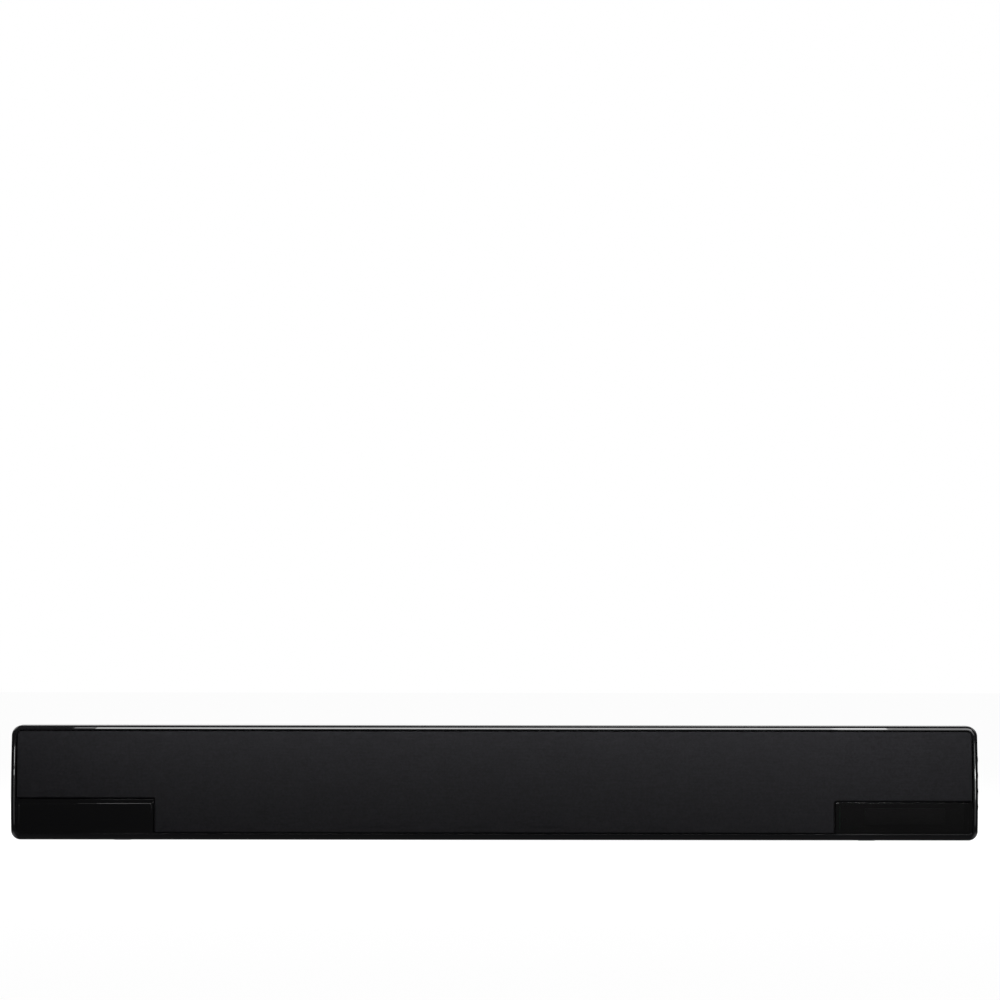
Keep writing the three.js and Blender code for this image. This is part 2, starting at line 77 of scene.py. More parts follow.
# ------------------------------------------------------------------ dimensions, in mm, as the CAD part has them
MM = 0.001
_lo, _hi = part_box("front_frame")
SX = (_lo.x + _hi.x) / 2 / MM  # the cabinet's middle plane in the row frame
ZB = _lo.z / MM
ZT = _hi.z / MM
FRONT_Y = _lo.y / MM
REAR_Y = CAD_BOX[1][1] / MM
HALF = 512.0
R_TOP, R_BOT = 11.5, 10.0
SEAM_Y = -30.0
LIP = 6.4
CAP_X = 494.0
BAFFLE_Y = -36.0
DRIVER_Z = 61.6
WOOFER_X = (-310.0, -215.0, 215.0, 310.0)
TWEETER_X = (-433.0, 433.0)
TWEETER_Z = 86.0
PORT_X, KEY_X, PAD_X = 440.0, 330.0, 125.0
BUTTON_Z = (85.6, 69.0, 52.4, 35.8)
BUTTON_Y = -14.0
BUTTONS = ("power", "source", "volume_up", "volume_down")
PLATE_EDGE_X, NOTCH_X = 361.0, 359.7
PLATE_TOP = {"left": 43.8, "right": 41.0}
NOTCH_TOP = {"left": 45.0, "right": 42.2}
SCREWS = ((-230, 14), (-230, 109), (230, 14), (230, 109), (-482, 61.6), (482, 61.6))
Z_WIDE = 39.0
SIDE_NARROW = 1.25


def half_width(z):
    if z > Z_WIDE:
        return HALF - 0.9 * ((z - Z_WIDE) / 73) ** 2
    return HALF - 0.3 * ((Z_WIDE - z) / 28) ** 2


def bow(x, z):
    """Moves a point near an end inwards as far as the bowed outline does at its height."""
    t = min(1.0, max(0.0, (abs(x) - 440) / 60))
    return x - math.copysign((HALF - half_width(z)) * t * t * (3 - 2 * t), x)


# ------------------------------------------------------------------ materials
def _link(nt, a, b):
    nt.links.new(a, b)


class Mat:
    """A principled material with its own node helpers."""

    def __init__(self, name):
        self.m = bpy.data.materials.new(name)
        self.m.use_nodes = True
        self.nt = self.m.node_tree
        self.bsdf = self.nt.nodes["Principled BSDF"]
        self.co = self.nt.nodes.new("ShaderNodeTexCoord").outputs["Object"]

    def node(self, kind, **props):
        n = self.nt.nodes.new(kind)
        for k, v in props.items():
            setattr(n, k, v)
        return n

    def feed(self, socket, value):
        if hasattr(value, "is_linked"):
            _link(self.nt, value, socket)
        else:
            socket.default_value = value

    def math(self, op, a, b=0.0, c=0.0):
        n = self.node("ShaderNodeMath", operation=op)
        for s, v in zip(n.inputs, (a, b, c)):
            self.feed(s, v)
        return n.outputs[0]

    def stretch(self, scale, vector=None):
        n = self.node("ShaderNodeMapping")
        self.feed(n.inputs["Vector"], vector or self.co)
        n.inputs["Scale"].default_value = scale
        return n.outputs[0]

    def noise(self, scale, detail=3.0, rough=0.55, vector=None, distortion=0.0):
        n = self.node("ShaderNodeTexNoise")
        self.feed(n.inputs["Vector"], vector or self.co)
        n.inputs["Scale"].default_value = scale
        n.inputs["Detail"].default_value = detail
        n.inputs["Roughness"].default_value = rough
        n.inputs["Distortion"].default_value = distortion
        return n.outputs["Fac"]

    def voronoi(self, scale, feature="F1", vector=None):
        n = self.node("ShaderNodeTexVoronoi", feature=feature)
        self.feed(n.inputs["Vector"], vector or self.co)
        n.inputs["Scale"].default_value = scale
        return n.outputs["Distance"]

    def spread(self, value, lo, hi, a=0.3, b=0.7):
        n = self.node("ShaderNodeMapRange")
        self.feed(n.inputs["Value"], value)
        n.inputs["From Min"].default_value = a
        n.inputs["From Max"].default_value = b
        n.inputs["To Min"].default_value = lo
        n.inputs["To Max"].default_value = hi
        return n.outputs["Result"]

    def mix(self, fac, a, b):
        n = self.node("ShaderNodeMix", data_type="RGBA")
        self.feed(n.inputs[0], fac)
        self.feed(n.inputs[6], (*a, 1.0) if isinstance(a, tuple) else a)
        self.feed(n.inputs[7], (*b, 1.0) if isinstance(b, tuple) else b)
        return n.outputs[2]

    def bump(self, height, distance, strength=1.0):
        n = self.node("ShaderNodeBump")
        n.inputs["Strength"].default_value = strength
        n.inputs["Distance"].default_value = distance
        self.feed(n.inputs["Height"], height)
        _link(self.nt, n.outputs["Normal"], self.bsdf.inputs["Normal"])

    def set(self, **kv):
        names = {
            "color": "Base Color",
            "rough": "Roughness",
            "metal": "Metallic",
            "ior": "IOR",
            "coat": "Coat Weight",
            "coat_rough": "Coat Roughness",
            "coat_ior": "Coat IOR",
            "sheen": "Sheen Weight",
            "sheen_rough": "Sheen Roughness",
            "spec": "Specular IOR Level",
            "alpha": "Alpha",
            "aniso": "Anisotropic",
        }
        for k, v in kv.items():
            self.feed(self.bsdf.inputs[names[k]], (*v, 1.0) if isinstance(v, tuple) else v)
        return self


def scaled(c, k):
    return tuple(min(1.0, x * k) for x in c)


def moulded(name, c, rough, grain=2200.0, depth=0.00004, rough_spread=0.05, var=0.12, **more):
    """Moulded plastic or rubber: a fine spark-eroded grain and slow changes of tone."""
    m = Mat(name)
    slow = m.noise(28, 2)
    fine = m.noise(grain, 2, 0.6)
    m.set(color=m.mix(m.spread(slow, 0, 1), scaled(c, 1 - var), scaled(c, 1 + var)))
    m.set(rough=m.spread(m.math("ADD", m.math("MULTIPLY", slow, 0.5), m.math("MULTIPLY", fine, 0.5)), rough - rough_spread, rough + rough_spread))
    m.bump(fine, depth, 0.6)
    return m.set(**more)


def gloss(name, c, rough=0.07, **more):
    """Polished black plastic: a faint flow in the surface, hairline polishing marks in the roughness."""
    m = Mat(name)
    slow = m.noise(9, 2)
    hair = m.noise(60, 4, 0.7, m.stretch((0.35, 6.0, 6.0)), 0.4)
    m.set(color=m.mix(m.spread(slow, 0, 1), scaled(c, 0.86), scaled(c, 1.14)))
    m.set(rough=m.spread(hair, rough - 0.02, rough + 0.035, 0.35, 0.75))
    m.bump(m.noise(22, 1.5), 0.00002, 0.35)
    return m.set(coat=1.0, coat_rough=0.03, coat_ior=1.5, **more)


def metal(name, c, rough, stretch=(1, 1, 1), grain=900.0, var=0.1, depth=0.00001):
    m = Mat(name)
    g = m.noise(grain, 4, 0.65, m.stretch(stretch))
    slow = m.noise(35, 3)
    m.set(color=m.mix(m.spread(slow, 0, 1), scaled(c, 1 - var), scaled(c, 1 + var)))
    m.set(rough=m.spread(g, rough - 0.08, rough + 0.1), metal=1.0)
    m.bump(g, depth, 0.5)
    return m


GLOSS = gloss("gloss_black_plastic", (0.0042, 0.0042, 0.0048))
PLATE = gloss("gloss_black_plate", (0.0024, 0.0024, 0.0026), 0.06)
WINDOW = gloss("smoked_window_acrylic", (0.0056, 0.0056, 0.0057), 0.05, alpha=0.60)
SATIN = moulded("satin_black_plastic", (0.023, 0.023, 0.0245), 0.46, 1500, 0.00006)
INNER = moulded("inner_black_plastic", (0.017, 0.017, 0.018), 0.6, 900, 0.00005)
SOCKET = moulded("socket_black_plastic", (0.012, 0.012, 0.012), 0.36, 2600, 0.00002)
RUBBER = moulded("foot_rubber", (0.012, 0.012, 0.012), 0.82, 1300, 0.00008, var=0.2)
SURROUND = moulded("surround_rubber", (0.010, 0.010, 0.010), 0.42, 700, 0.00003)
SEGMENT = moulded("display_filter", (0.046, 0.046, 0.047), 0.5, 900, 0.00001)
SHUTTER = moulded("shutter_grey", (0.08, 0.08, 0.085), 0.5, 1500, 0.00002)
ICON = moulded("button_legend", (0.32, 0.32, 0.33), 0.5, 2600, 0.00001)
WHITE_P = moulded("insulator_white", (0.62, 0.61, 0.58), 0.4, 1800, 0.00001)
RED_P = moulded("insulator_red", (0.42, 0.02, 0.02), 0.4, 1800, 0.00001)
VIOLET_P = moulded("insulator_violet", (0.16, 0.06, 0.30), 0.4, 1800, 0.00001)
GREEN_P = moulded("insulator_green", (0.03, 0.25, 0.08), 0.4, 1800, 0.00001)
RED_WIRE = moulded("wire_red", (0.36, 0.015, 0.015), 0.42, 1200, 0.00001)
BLACK_WIRE = moulded("wire_black", (0.018, 0.018, 0.018), 0.42, 1200, 0.00001)
GREY_WIRE = moulded("cable_grey", (0.12, 0.12, 0.125), 0.5, 1200, 0.00001)
YELLOW_TAPE = moulded("winding_tape", (0.62, 0.42, 0.04), 0.35, 600, 0.00001)
CREAM = moulded("connector_cream", (0.66, 0.60, 0.46), 0.45, 1500, 0.00001)
CHIP = moulded("chip_black", (0.02, 0.02, 0.02), 0.42, 2600, 0.00001)
BLUE_P = moulded("capacitor_blue", (0.03, 0.08, 0.30), 0.35, 1500, 0.00001)
ZINC = metal("zinc_plated_steel", (0.52, 0.53, 0.54), 0.34, (1, 1, 14), 260)
NICKEL = metal("bright_nickel", (0.62, 0.60, 0.55), 0.18)
BRASS = metal("brass", (0.72, 0.50, 0.20), 0.28)
ALU = metal("extruded_aluminium", (0.56, 0.57, 0.58), 0.38, (1, 10, 1), 220)
CAN = metal("capacitor_can", (0.60, 0.60, 0.61), 0.3)
FERRITE = metal("ferrite", (0.045, 0.045, 0.047), 0.55, (1, 1, 1), 500, 0.2)
PLATED = metal("top_plate", (0.50, 0.47, 0.36), 0.36)
BLACK_STEEL = moulded("electrocoated_steel", (0.016, 0.016, 0.017), 0.36, 1800, 0.00003, metal=0.35)
SCREW_STEEL = moulded("black_oxide_steel", (0.020, 0.020, 0.021), 0.34, 1600, 0.00002, metal=0.7)


def cloth_material():
    """A plain weave about 0.45 mm from thread to thread, with slubs and uneven dye, and painted shade that darkens the
    hollows between the threads.
    """
    m = Mat("grille_cloth_weave")
    xyz = m.node("ShaderNodeSeparateXYZ")
    _link(m.nt, m.co, xyz.inputs[0])
    x, y, z = xyz.outputs
    wob = m.math("MULTIPLY", m.noise(90, 2), 0.00035)
    k = math.pi / 0.00045
    u = m.math("MULTIPLY", m.math("ADD", m.math("ADD", x, y), wob), k)
    v = m.math("MULTIPLY", m.math("ADD", m.math("ADD", z, y), wob), k)
    su, sv = m.math("SINE", u), m.math("SINE", v)
    au, av = m.math("ABSOLUTE", su), m.math("ABSOLUTE", sv)
    c = m.math("SIGN", m.math("MULTIPLY", su, sv))
    over = m.math("MULTIPLY", au, m.math("MULTIPLY_ADD", m.math("MULTIPLY", c, av), 0.35, 0.65))
    under = m.math("MULTIPLY", av, m.math("MULTIPLY_ADD", m.math("MULTIPLY", c, au), -0.35, 0.65))
    height = m.math("MAXIMUM", over, under)
    mottle = m.noise(420, 4, 0.65)
    slub = m.noise(60, 3, 0.6, m.stretch((0.6, 1.0, 9.0)))
    # painted shade: the colour darkens in the hollows between the threads, following the weave height; the mottle and
    # the slubs are uneven dye
    tone = m.math("ADD", m.math("MULTIPLY", m.spread(height, 0.0, 1.0, 0.1, 0.95), 0.52), m.math("ADD", m.math("MULTIPLY", m.spread(mottle, -0.5, 0.5), 0.62), m.math("MULTIPLY", m.spread(slub, -0.5, 0.5), 0.16)))
    m.set(color=m.mix(m.math("ADD", tone, 0.12), (0.0041, 0.0041, 0.0048), (0.0157, 0.0155, 0.0178)))
    m.set(rough=m.spread(mottle, 0.78, 0.95), sheen=0.02, sheen_rough=0.5, spec=0.14)
    m.bump(m.math("ADD", height, m.math("MULTIPLY", mottle, 0.5)), 0.00012, 0.5)
    return m


def paper_material():
    m = Mat("coated_paper_cone")
    fibre = m.noise(900, 5, 0.7, m.stretch((1, 3, 1)))
    fleck = m.noise(2600, 2)
    m.set(color=m.mix(m.spread(fibre, 0, 1), (0.014, 0.014, 0.015), (0.034, 0.034, 0.036)))
    m.set(rough=m.spread(fleck, 0.6, 0.82))
    m.bump(fibre, 0.00008, 0.6)
    return m


def board_material(name, mask, copper):
    """A circuit board: tracks under the solder mask, and fine fibre in the laminate."""
    m = Mat(name)
    wide = m.node("ShaderNodeTexVoronoi")
    _link(m.nt, m.co, wide.inputs["Vector"])
    wide.inputs["Scale"].default_value = 230
    wide.distance = "MANHATTAN"
    tracks = m.math("PINGPONG", wide.outputs["Distance"], 0.09)
    on = m.spread(tracks, 0, 1, 0.035, 0.05)
    m.set(color=m.mix(on, mask, copper))
    m.set(rough=m.spread(m.noise(700, 3), 0.28, 0.42))
    m.bump(m.math("ADD", m.math("MULTIPLY", on, 0.6), m.noise(1500, 2)), 0.00003, 0.5)
    return m


def silk_material():
    m = Mat("doped_silk")
    k = math.pi / 0.00022
    xyz = m.node("ShaderNodeSeparateXYZ")
    _link(m.nt, m.co, xyz.inputs[0])
    w = m.math("MULTIPLY", m.math("SINE", m.math("MULTIPLY", xyz.outputs[0], k)), m.math("SINE", m.math("MULTIPLY", xyz.outputs[2], k)))
    # painted shade: the colour follows the weave height w and is darker in its pits; the bump below uses the same
    # height
    m.set(color=m.mix(m.spread(w, 0, 1, -0.6, 0.6), (0.012, 0.012, 0.014), (0.036, 0.036, 0.040)))
    m.set(rough=m.spread(m.noise(800), 0.3, 0.5), sheen=0.05)
    m.bump(w, 0.00004, 0.5)
    return m


CLOTH = cloth_material()
PAPER = paper_material()
SILK = silk_material()
BOARD_G = board_material("board_green_mask", (0.010, 0.085, 0.035), (0.022, 0.150, 0.060))
BOARD_T = board_material("board_tan_laminate", (0.30, 0.19, 0.075), (0.38, 0.25, 0.11))


# ------------------------------------------------------------------ mesh making
class Raw:
    """Vertices in mm in the cabinet's frame, with faces. Several shapes can be gathered in one."""

    def __init__(self, verts=(), faces=()):
        self.v = [tuple(p) for p in verts]
        self.f = [tuple(f) for f in faces]

    def add(self, *others):
        for o in others:
            n = len(self.v)
            self.v += o.v
            self.f += [tuple(i + n for i in f) for f in o.f]
        return self

    def moved(self, x=0.0, y=0.0, z=0.0):
        return Raw([(a + x, b + y, c + z) for a, b, c in self.v], self.f)

    def mapped(self, fn):
        return Raw([fn(*p) for p in self.v], self.f)


def skin(rows, ring=False, loop=True, cap0=True, cap1=True):
    n, m = len(rows[0]), len(rows)
    v = [p for r in rows for p in r]
    f = []
    for i in range(m if ring else m - 1):
        for j in range(n if loop else n - 1):
            a, b = i * n + j, i * n + (j + 1) % n
            c, d = ((i + 1) % m) * n + (j + 1) % n, ((i + 1) % m) * n + j
            f.append((a, b, c, d))
    if not ring:
        if cap0:
            f.append(tuple(range(n - 1, -1, -1)))
        if cap1:
            f.append(tuple(range((m - 1) * n, m * n)))
    return Raw(v, f)


def lathe(profile, seg=64, ring=False, axis="Y", at=(0, 0, 0)):
    """A profile of (radius, station) turned about the axis. It starts and ends on the axis, or is a ring."""
    v, f, rows = [], [], []
    for r, s in profile:
        if r < 1e-6:
            rows.append([len(v)])
            v.append((0.0, s, 0.0))
        else:
            rows.append(list(range(len(v), len(v) + seg)))
            v += [(r * math.sin(2 * math.pi * i / seg), s, r * math.cos(2 * math.pi * i / seg)) for i in range(seg)]
    pairs = list(zip(rows, rows[1:])) + ([(rows[-1], rows[0])] if ring else [])
    for a, b in pairs:
        for i in range(seg):
            j = (i + 1) % seg
            if len(a) == 1 and len(b) == 1:
                continue
            if len(a) == 1:
                f.append((a[0], b[j], b[i]))
            elif len(b) == 1:
                f.append((a[i], a[j], b[0]))
            else:
                f.append((a[i], a[j], b[j], b[i]))
    if axis == "X":
        v = [(y, -x, z) for x, y, z in v]
    elif axis == "Z":
        v = [(x, -z, y) for x, y, z in v]
    return Raw([(x + at[0], y + at[1], z + at[2]) for x, y, z in v], f)


def arc(cx, cy, rx, ry, a0, a1, n):
    return [(cx + rx * math.cos(math.radians(a0 + (a1 - a0) * i / n)), cy + ry * math.sin(math.radians(a0 + (a1 - a0) * i / n))) for i in range(n + 1)]


def rbox(x0, x1, y0, y1, z0, z1, r=0.4, seg=2):
    bm = bmesh.new()
    bmesh.ops.create_cube(bm, size=1.0)
    for p in bm.verts:
        p.co = Vector((x0 if p.co.x < 0 else x1, y0 if p.co.y < 0 else y1, z0 if p.co.z < 0 else z1))
    if r > 0:
        bmesh.ops.bevel(bm, geom=bm.edges[:], offset=r, segments=seg, profile=0.5, affect="EDGES")
    bm.verts.index_update()
    out = Raw([tuple(p.co) for p in bm.verts], [tuple(p.index for p in f.verts) for f in bm.faces])
    bm.free()
    return out


def fillet_poly(pts, radii, seg=6, inset=0.0):
    """A closed polygon of (x, z), anticlockwise, moved inwards by inset, with rounded corners. The number of points doesn't depend on inset."""
    n = len(pts)
    P = [Vector(p) for p in pts]
    out = []
    lines = []
    for i in range(n):
        a, b = P[i], P[(i + 1) % n]
        d = (b - a).normalized()
        nrm = Vector((-d.y, d.x))
        lines.append((a + nrm * inset, d))
    for i in range(n):
        (p0, d0), (p1, d1) = lines[i - 1], lines[i]
        cross = d0.x * d1.y - d0.y * d1.x
        t = ((p1 - p0).x * d1.y - (p1 - p0).y * d1.x) / cross
        corner = p0 + d0 * t
        convex = cross > 0
        r = radii[i] if isinstance(radii, (list, tuple)) else radii
        r = max(0.05, r - inset) if convex else r + inset
        turn = math.acos(max(-1, min(1, d0.dot(d1))))
        cut_len = r * math.tan(turn / 2)
        s = corner - d0 * cut_len
        centre = s + Vector((-d0.y, d0.x)) * r * (1 if convex else -1)
        a0 = math.atan2((s - centre).y, (s - centre).x)
        for k in range(seg + 1):
            a = a0 + (turn if convex else -turn) * k / seg
            out.append((centre.x + r * math.cos(a), centre.y + r * math.sin(a)))
    return out


def rect(x0, x1, z0, z1):
    return [(x0, z0), (x1, z0), (x1, z1), (x0, z1)]


def prism(pts, radii, rows, seg=6):
    """A rounded polygon in XZ skinned through rows of (inset, y)."""
    return skin([[(x, y, z) for x, z in fillet_poly(pts, radii, seg, d)] for d, y in rows])


def flared(pts, radii, y_in, y_out, fillet=0.5, seg=6, steps=4):
    """A cutter that goes in from the back: its mouth at y_out has a small rounded edge."""
    rows = [(0.0, y_in), (0.0, y_out - fillet)]
    for i in range(1, steps + 1):
        a = math.pi / 2 * i / steps
        rows.append((-fillet * (1 - math.cos(a)), y_out - fillet + fillet * math.sin(a)))
    rows.append((-fillet * 1.6, y_out + 0.6))
    return prism(pts, radii, rows, seg)


def flared_round(r, y_in, y_out, at, fillet=0.5, seg=48, axis="Y"):
    pr = [(0, y_in), (r, y_in), (r, y_out - fillet)]
    for i in range(1, 5):
        a = math.pi / 2 * i / 4
        pr.append((r + fillet * (1 - math.cos(a)), y_out - fillet + fillet * math.sin(a)))
    pr += [(r + fillet * 1.6, y_out + 0.6), (0, y_out + 0.6)]
    return lathe(pr, seg, axis=axis, at=at)


def smooth_path(points, per=8):
    """A centripetal Catmull-Rom curve through the points."""
    P = [Vector(p) for p in points]
    P = [P[0] * 2 - P[1]] + P + [P[-1] * 2 - P[-2]]
    out = []
    for i in range(1, len(P) - 2):
        p0, p1, p2, p3 = P[i - 1 : i + 3]
        t0 = 0.0
        t1 = t0 + (p1 - p0).length ** 0.5
        t2 = t1 + (p2 - p1).length ** 0.5
        t3 = t2 + (p3 - p2).length ** 0.5
        for k in range(per):
            t = t1 + (t2 - t1) * k / per
            a1 = p0 * ((t1 - t) / (t1 - t0)) + p1 * ((t - t0) / (t1 - t0))
            a2 = p1 * ((t2 - t) / (t2 - t1)) + p2 * ((t - t1) / (t2 - t1))
            a3 = p2 * ((t3 - t) / (t3 - t2)) + p3 * ((t - t2) / (t3 - t2))
            b1 = a1 * ((t2 - t) / (t2 - t0)) + a2 * ((t - t0) / (t2 - t0))
            b2 = a2 * ((t3 - t) / (t3 - t1)) + a3 * ((t - t1) / (t3 - t1))
            out.append(b1 * ((t2 - t) / (t2 - t1)) + b2 * ((t - t1) / (t2 - t1)))
    out.append(P[-2])
    return out


def tube(path, r, seg=12, twist=0.0, offset=0.0, phase=0.0):
    """A round wire along a path. offset and twist wind it round the path, for twisted pairs."""
    P = [Vector(p) for p in path]
    normal = None
    rows = []
    run = 0.0
    for i, p in enumerate(P):
        d = ((P[i + 1] if i + 1 < len(P) else p) - (P[i - 1] if i else p)).normalized()
        if normal is None:
            normal = d.orthogonal().normalized()
        normal = (normal - d * normal.dot(d)).normalized()
        side = d.cross(normal)
        if i:
            run += (p - P[i - 1]).length
        a = phase + twist * run
        c = p + (normal * math.cos(a) + side * math.sin(a)) * offset
        rows.append([tuple(c + (normal * math.cos(2 * math.pi * k / seg) + side * math.sin(2 * math.pi * k / seg)) * r) for k in range(seg)])
    return skin(rows)


def dense(path, step):
    out = [Vector(path[0])]
    for a, b in zip(path, path[1:]):
        n = max(1, int((Vector(b) - Vector(a)).length / step))
        out += [Vector(a).lerp(Vector(b), k / n) for k in range(1, n + 1)]
    return out


def to_mesh(name, raw, sharp=32.0, weld=1e-6):
    bm = bmesh.new()
    vs = [bm.verts.new(((x + SX) * MM, y * MM, z * MM)) for x, y, z in raw.v]
    for f in raw.f:
        if len(set(f)) >= 3:
            try:
                bm.faces.new([vs[i] for i in f])
            except ValueError:
                pass
    bmesh.ops.remove_doubles(bm, verts=bm.verts[:], dist=weld)
    tidy(bm, sharp)
    me = bpy.data.meshes.new(name)
    bm.to_mesh(me)
    bm.free()
    return me


def tidy(bm, sharp):
    loose = [p for p in bm.verts if not p.link_faces]
    if loose:
        bmesh.ops.delete(bm, geom=loose, context="VERTS")
    bmesh.ops.recalc_face_normals(bm, faces=bm.faces[:])
    bm.normal_update()
    limit = math.radians(sharp)
    for f in bm.faces:
        f.smooth = True
    for e in bm.edges:
        e.smooth = len(e.link_faces) == 2 and e.calc_face_angle(0.0) < limit


MADE = {}


def piece(name, raw, mat, body="cabinet", replaces=(), sharp=32.0, mesh=None):
    me = mesh or to_mesh(name, raw, sharp)
    o = bpy.data.objects.new(name, me)
    bpy.context.scene.collection.objects.link(o)
    me.materials.clear()
    me.materials.append(mat.m)
    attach(o, body)
    if replaces:
        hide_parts(*([replaces] if isinstance(replaces, str) else replaces))
    MADE[name] = o
    return o


def carve(name, raw, cuts=(), joins=(), sharp=32.0):
    """raw with each of joins added, then each of cuts taken away, as a new mesh."""
    base = bpy.data.objects.new(name, to_mesh(name, raw, sharp))
    bpy.context.scene.collection.objects.link(base)
    tools = []
    for op, group in (("UNION", joins), ("DIFFERENCE", cuts)):
        for i, g in enumerate(group):
            t = bpy.data.objects.new(f"{name}_tool", to_mesh(f"{name}_tool", g))
            bpy.context.scene.collection.objects.link(t)
            tools.append(t)
            mod = base.modifiers.new(f"{op}{i}", "BOOLEAN")
            mod.operation, mod.solver, mod.object = op, "EXACT", t
    bpy.context.view_layer.update()
    dg = bpy.context.evaluated_depsgraph_get()
    me = bpy.data.meshes.new_from_object(base.evaluated_get(dg))
    for t in [base, *tools]:
        old = t.data
        bpy.data.objects.remove(t)
        bpy.data.meshes.remove(old)
    me.name = name
    bm = bmesh.new()
    bm.from_mesh(me)
    bmesh.ops.remove_doubles(bm, verts=bm.verts[:], dist=2e-7)
    bmesh.ops.dissolve_degenerate(bm, edges=bm.edges[:], dist=1e-8)
    tidy(bm, sharp)
    bm.to_mesh(me)
    bm.free()
    return me


# ------------------------------------------------------------------ the outline of the front
def base_outline(steps=14):
    right = []

    def corner(zc, r, start):
        xc = half_width(zc) - r
        for i in range(steps + 1):
            a = math.radians(start + 90 * i / steps)
            right.append((xc + r * math.cos(a), zc + r * math.sin(a), math.cos(a), math.sin(a)))

    corner(ZB + R_BOT, R_BOT, -90)
    for z in np.linspace(17, 104, 14):
        slope = -(half_width(z + 0.5) - half_width(z - 0.5))
        k = math.hypot(1, slope)
        right.append((half_width(z), float(z), 1 / k, slope / k))
    corner(ZT - R_TOP, R_TOP, 0)
    left = [(-x, z, -nx, nz) for x, z, nx, nz in reversed(right)]
    return right, left


RIGHT, LEFT = base_outline()


def outline(y, dx, dz=None, pts=None):
    dz = dx if dz is None else dz
    return [(x - dx * nx, y, z - dz * nz) for x, z, nx, nz in (pts or RIGHT + LEFT)]


CASE = ((-29.7, 0, 0), (-18, -0.55, 0.4), (-4, -0.77, 0.9), (14, 0.2, 1.5), (36, 3.0, 2.4), (46, 5.4, 3.8), (50, 9.0, 8.0))


def pchip(xs, ys, x):
    """Monotone cubic through the points."""
    n = len(xs)
    h = [xs[i + 1] - xs[i] for i in range(n - 1)]
    d = [(ys[i + 1] - ys[i]) / h[i] for i in range(n - 1)]
    m = [d[0]] + [0.0] * (n - 2) + [d[-1]]
    for i in range(1, n - 1):
        if d[i - 1] * d[i] > 0:
            w1, w2 = 2 * h[i] + h[i - 1], h[i] + 2 * h[i - 1]
            m[i] = (w1 + w2) / (w1 / d[i - 1] + w2 / d[i])
    i = max(0, min(n - 2, next((k for k in range(n - 1) if x <= xs[k + 1]), n - 2)))
    t = (x - xs[i]) / h[i]
    return (
        ys[i] * (1 + 2 * t) * (1 - t) ** 2
        + h[i] * m[i] * t * (1 - t) ** 2
        + ys[i + 1] * t * t * (3 - 2 * t)
        + h[i] * m[i + 1] * t * t * (t - 1)
    )


CY = [c[0] for c in CASE]


def case_dx(y):
    return pchip(CY, [c[1] for c in CASE], y)


def case_dz(y):
    return pchip(CY, [c[2] for c in CASE], y)


def case_rows():
    """(y, dx, dz) of the case's outer surface, with softened front and rear edges."""
    rows = [(-29.3 - 0.4 * math.sin(a), case_dx(-29.3) + 0.4 * (1 - math.cos(a)), case_dz(-29.3) + 0.4 * (1 - math.cos(a))) for a in (math.pi / 2, math.pi / 4)]
    for y in [-29.3, *np.linspace(-27, 44, 30), 45.5, 46.6, 47.5, 48.2, 48.8]:
        rows.append((float(y), case_dx(y), case_dz(y)))
    x0, z0 = case_dx(48.8), case_dz(48.8)
    for t in (0.35, 0.65, 0.88, 1.0):
        a = math.pi / 2 * t
        rows.append((48.8 + 1.2 * math.sin(a), x0 + 2.6 * (1 - math.cos(a)) + 0.8 * t, z0 + 2.6 * (1 - math.cos(a)) + 0.8 * t))
    return rows


CASE_ROWS = case_rows()

# ------------------------------------------------------------------ front frame
def lip_profile(width, r):
    """(inset, y) round the frame's section: a quarter ellipse from the outer wall to the foremost line, a small inner round, then the back."""
    a = width - 0.6
    out = [(0.35, SEAM_Y), (0.1, SEAM_Y - 0.1), (0.0, SEAM_Y - 0.35), (0.0, -36.0), (0.0, -41.0)]
    out += [(a - a * math.cos(t), -45.4 - 4.6 * math.sin(t)) for t in np.linspace(0, math.pi / 2, 26)]
    out += [(a + 0.2, -49.99), (width - r - 0.04, -49.97)]
    out += [(width - r + r * math.sin(t), -49.95 + r - r * math.cos(t)) for t in np.linspace(0.25, math.pi / 2, 5)]
    return out + [(width, -47.6), (width, -42.1), (LIP, -41.7), (LIP, -38.3), (8.8, -38.3), (8.8, -36.3), (4.4, -36.3), (4.4, -46.4), (3.2, -46.0), (2.6, -44.6), (2.6, SEAM_Y)]


# the lip is a little wider along the bottom than along the top and the ends
WIDE, NARROW = lip_profile(LIP, 0.04), lip_profile(LIP - SIDE_NARROW, 0.2)


def lip_row(i):
    row = []
    for x, z, nx, nz in RIGHT + LEFT:
        t = min(1.0, max(0.0, (-nz - 0.25) / 0.7))
        t = t * t * (3 - 2 * t)
        d = NARROW[i][0] + (WIDE[i][0] - NARROW[i][0]) * t
        y = NARROW[i][1] + (WIDE[i][1] - NARROW[i][1]) * t
        row.append((x - d * nx, y, z - d * nz))
    return row


front = skin([lip_row(i) for i in range(len(WIDE))], ring=True)
piece("bezel_frame", front, GLOSS, replaces="front_frame", sharp=40)
# the foam seal behind the seam
seal = [(3.15, -31.4), (4.1, -31.4), (4.1, -27.6), (3.15, -27.6)]
piece("seam_seal", skin([outline(y, d, d + 0.35) for d, y in seal], ring=True), RUBBER)
film = [(1.0, -29.97), (3.1, -29.97), (3.1, -29.73), (1.0, -29.73)]
piece("seam_film", skin([outline(y, d, d) for d, y in film], ring=True), RUBBER)


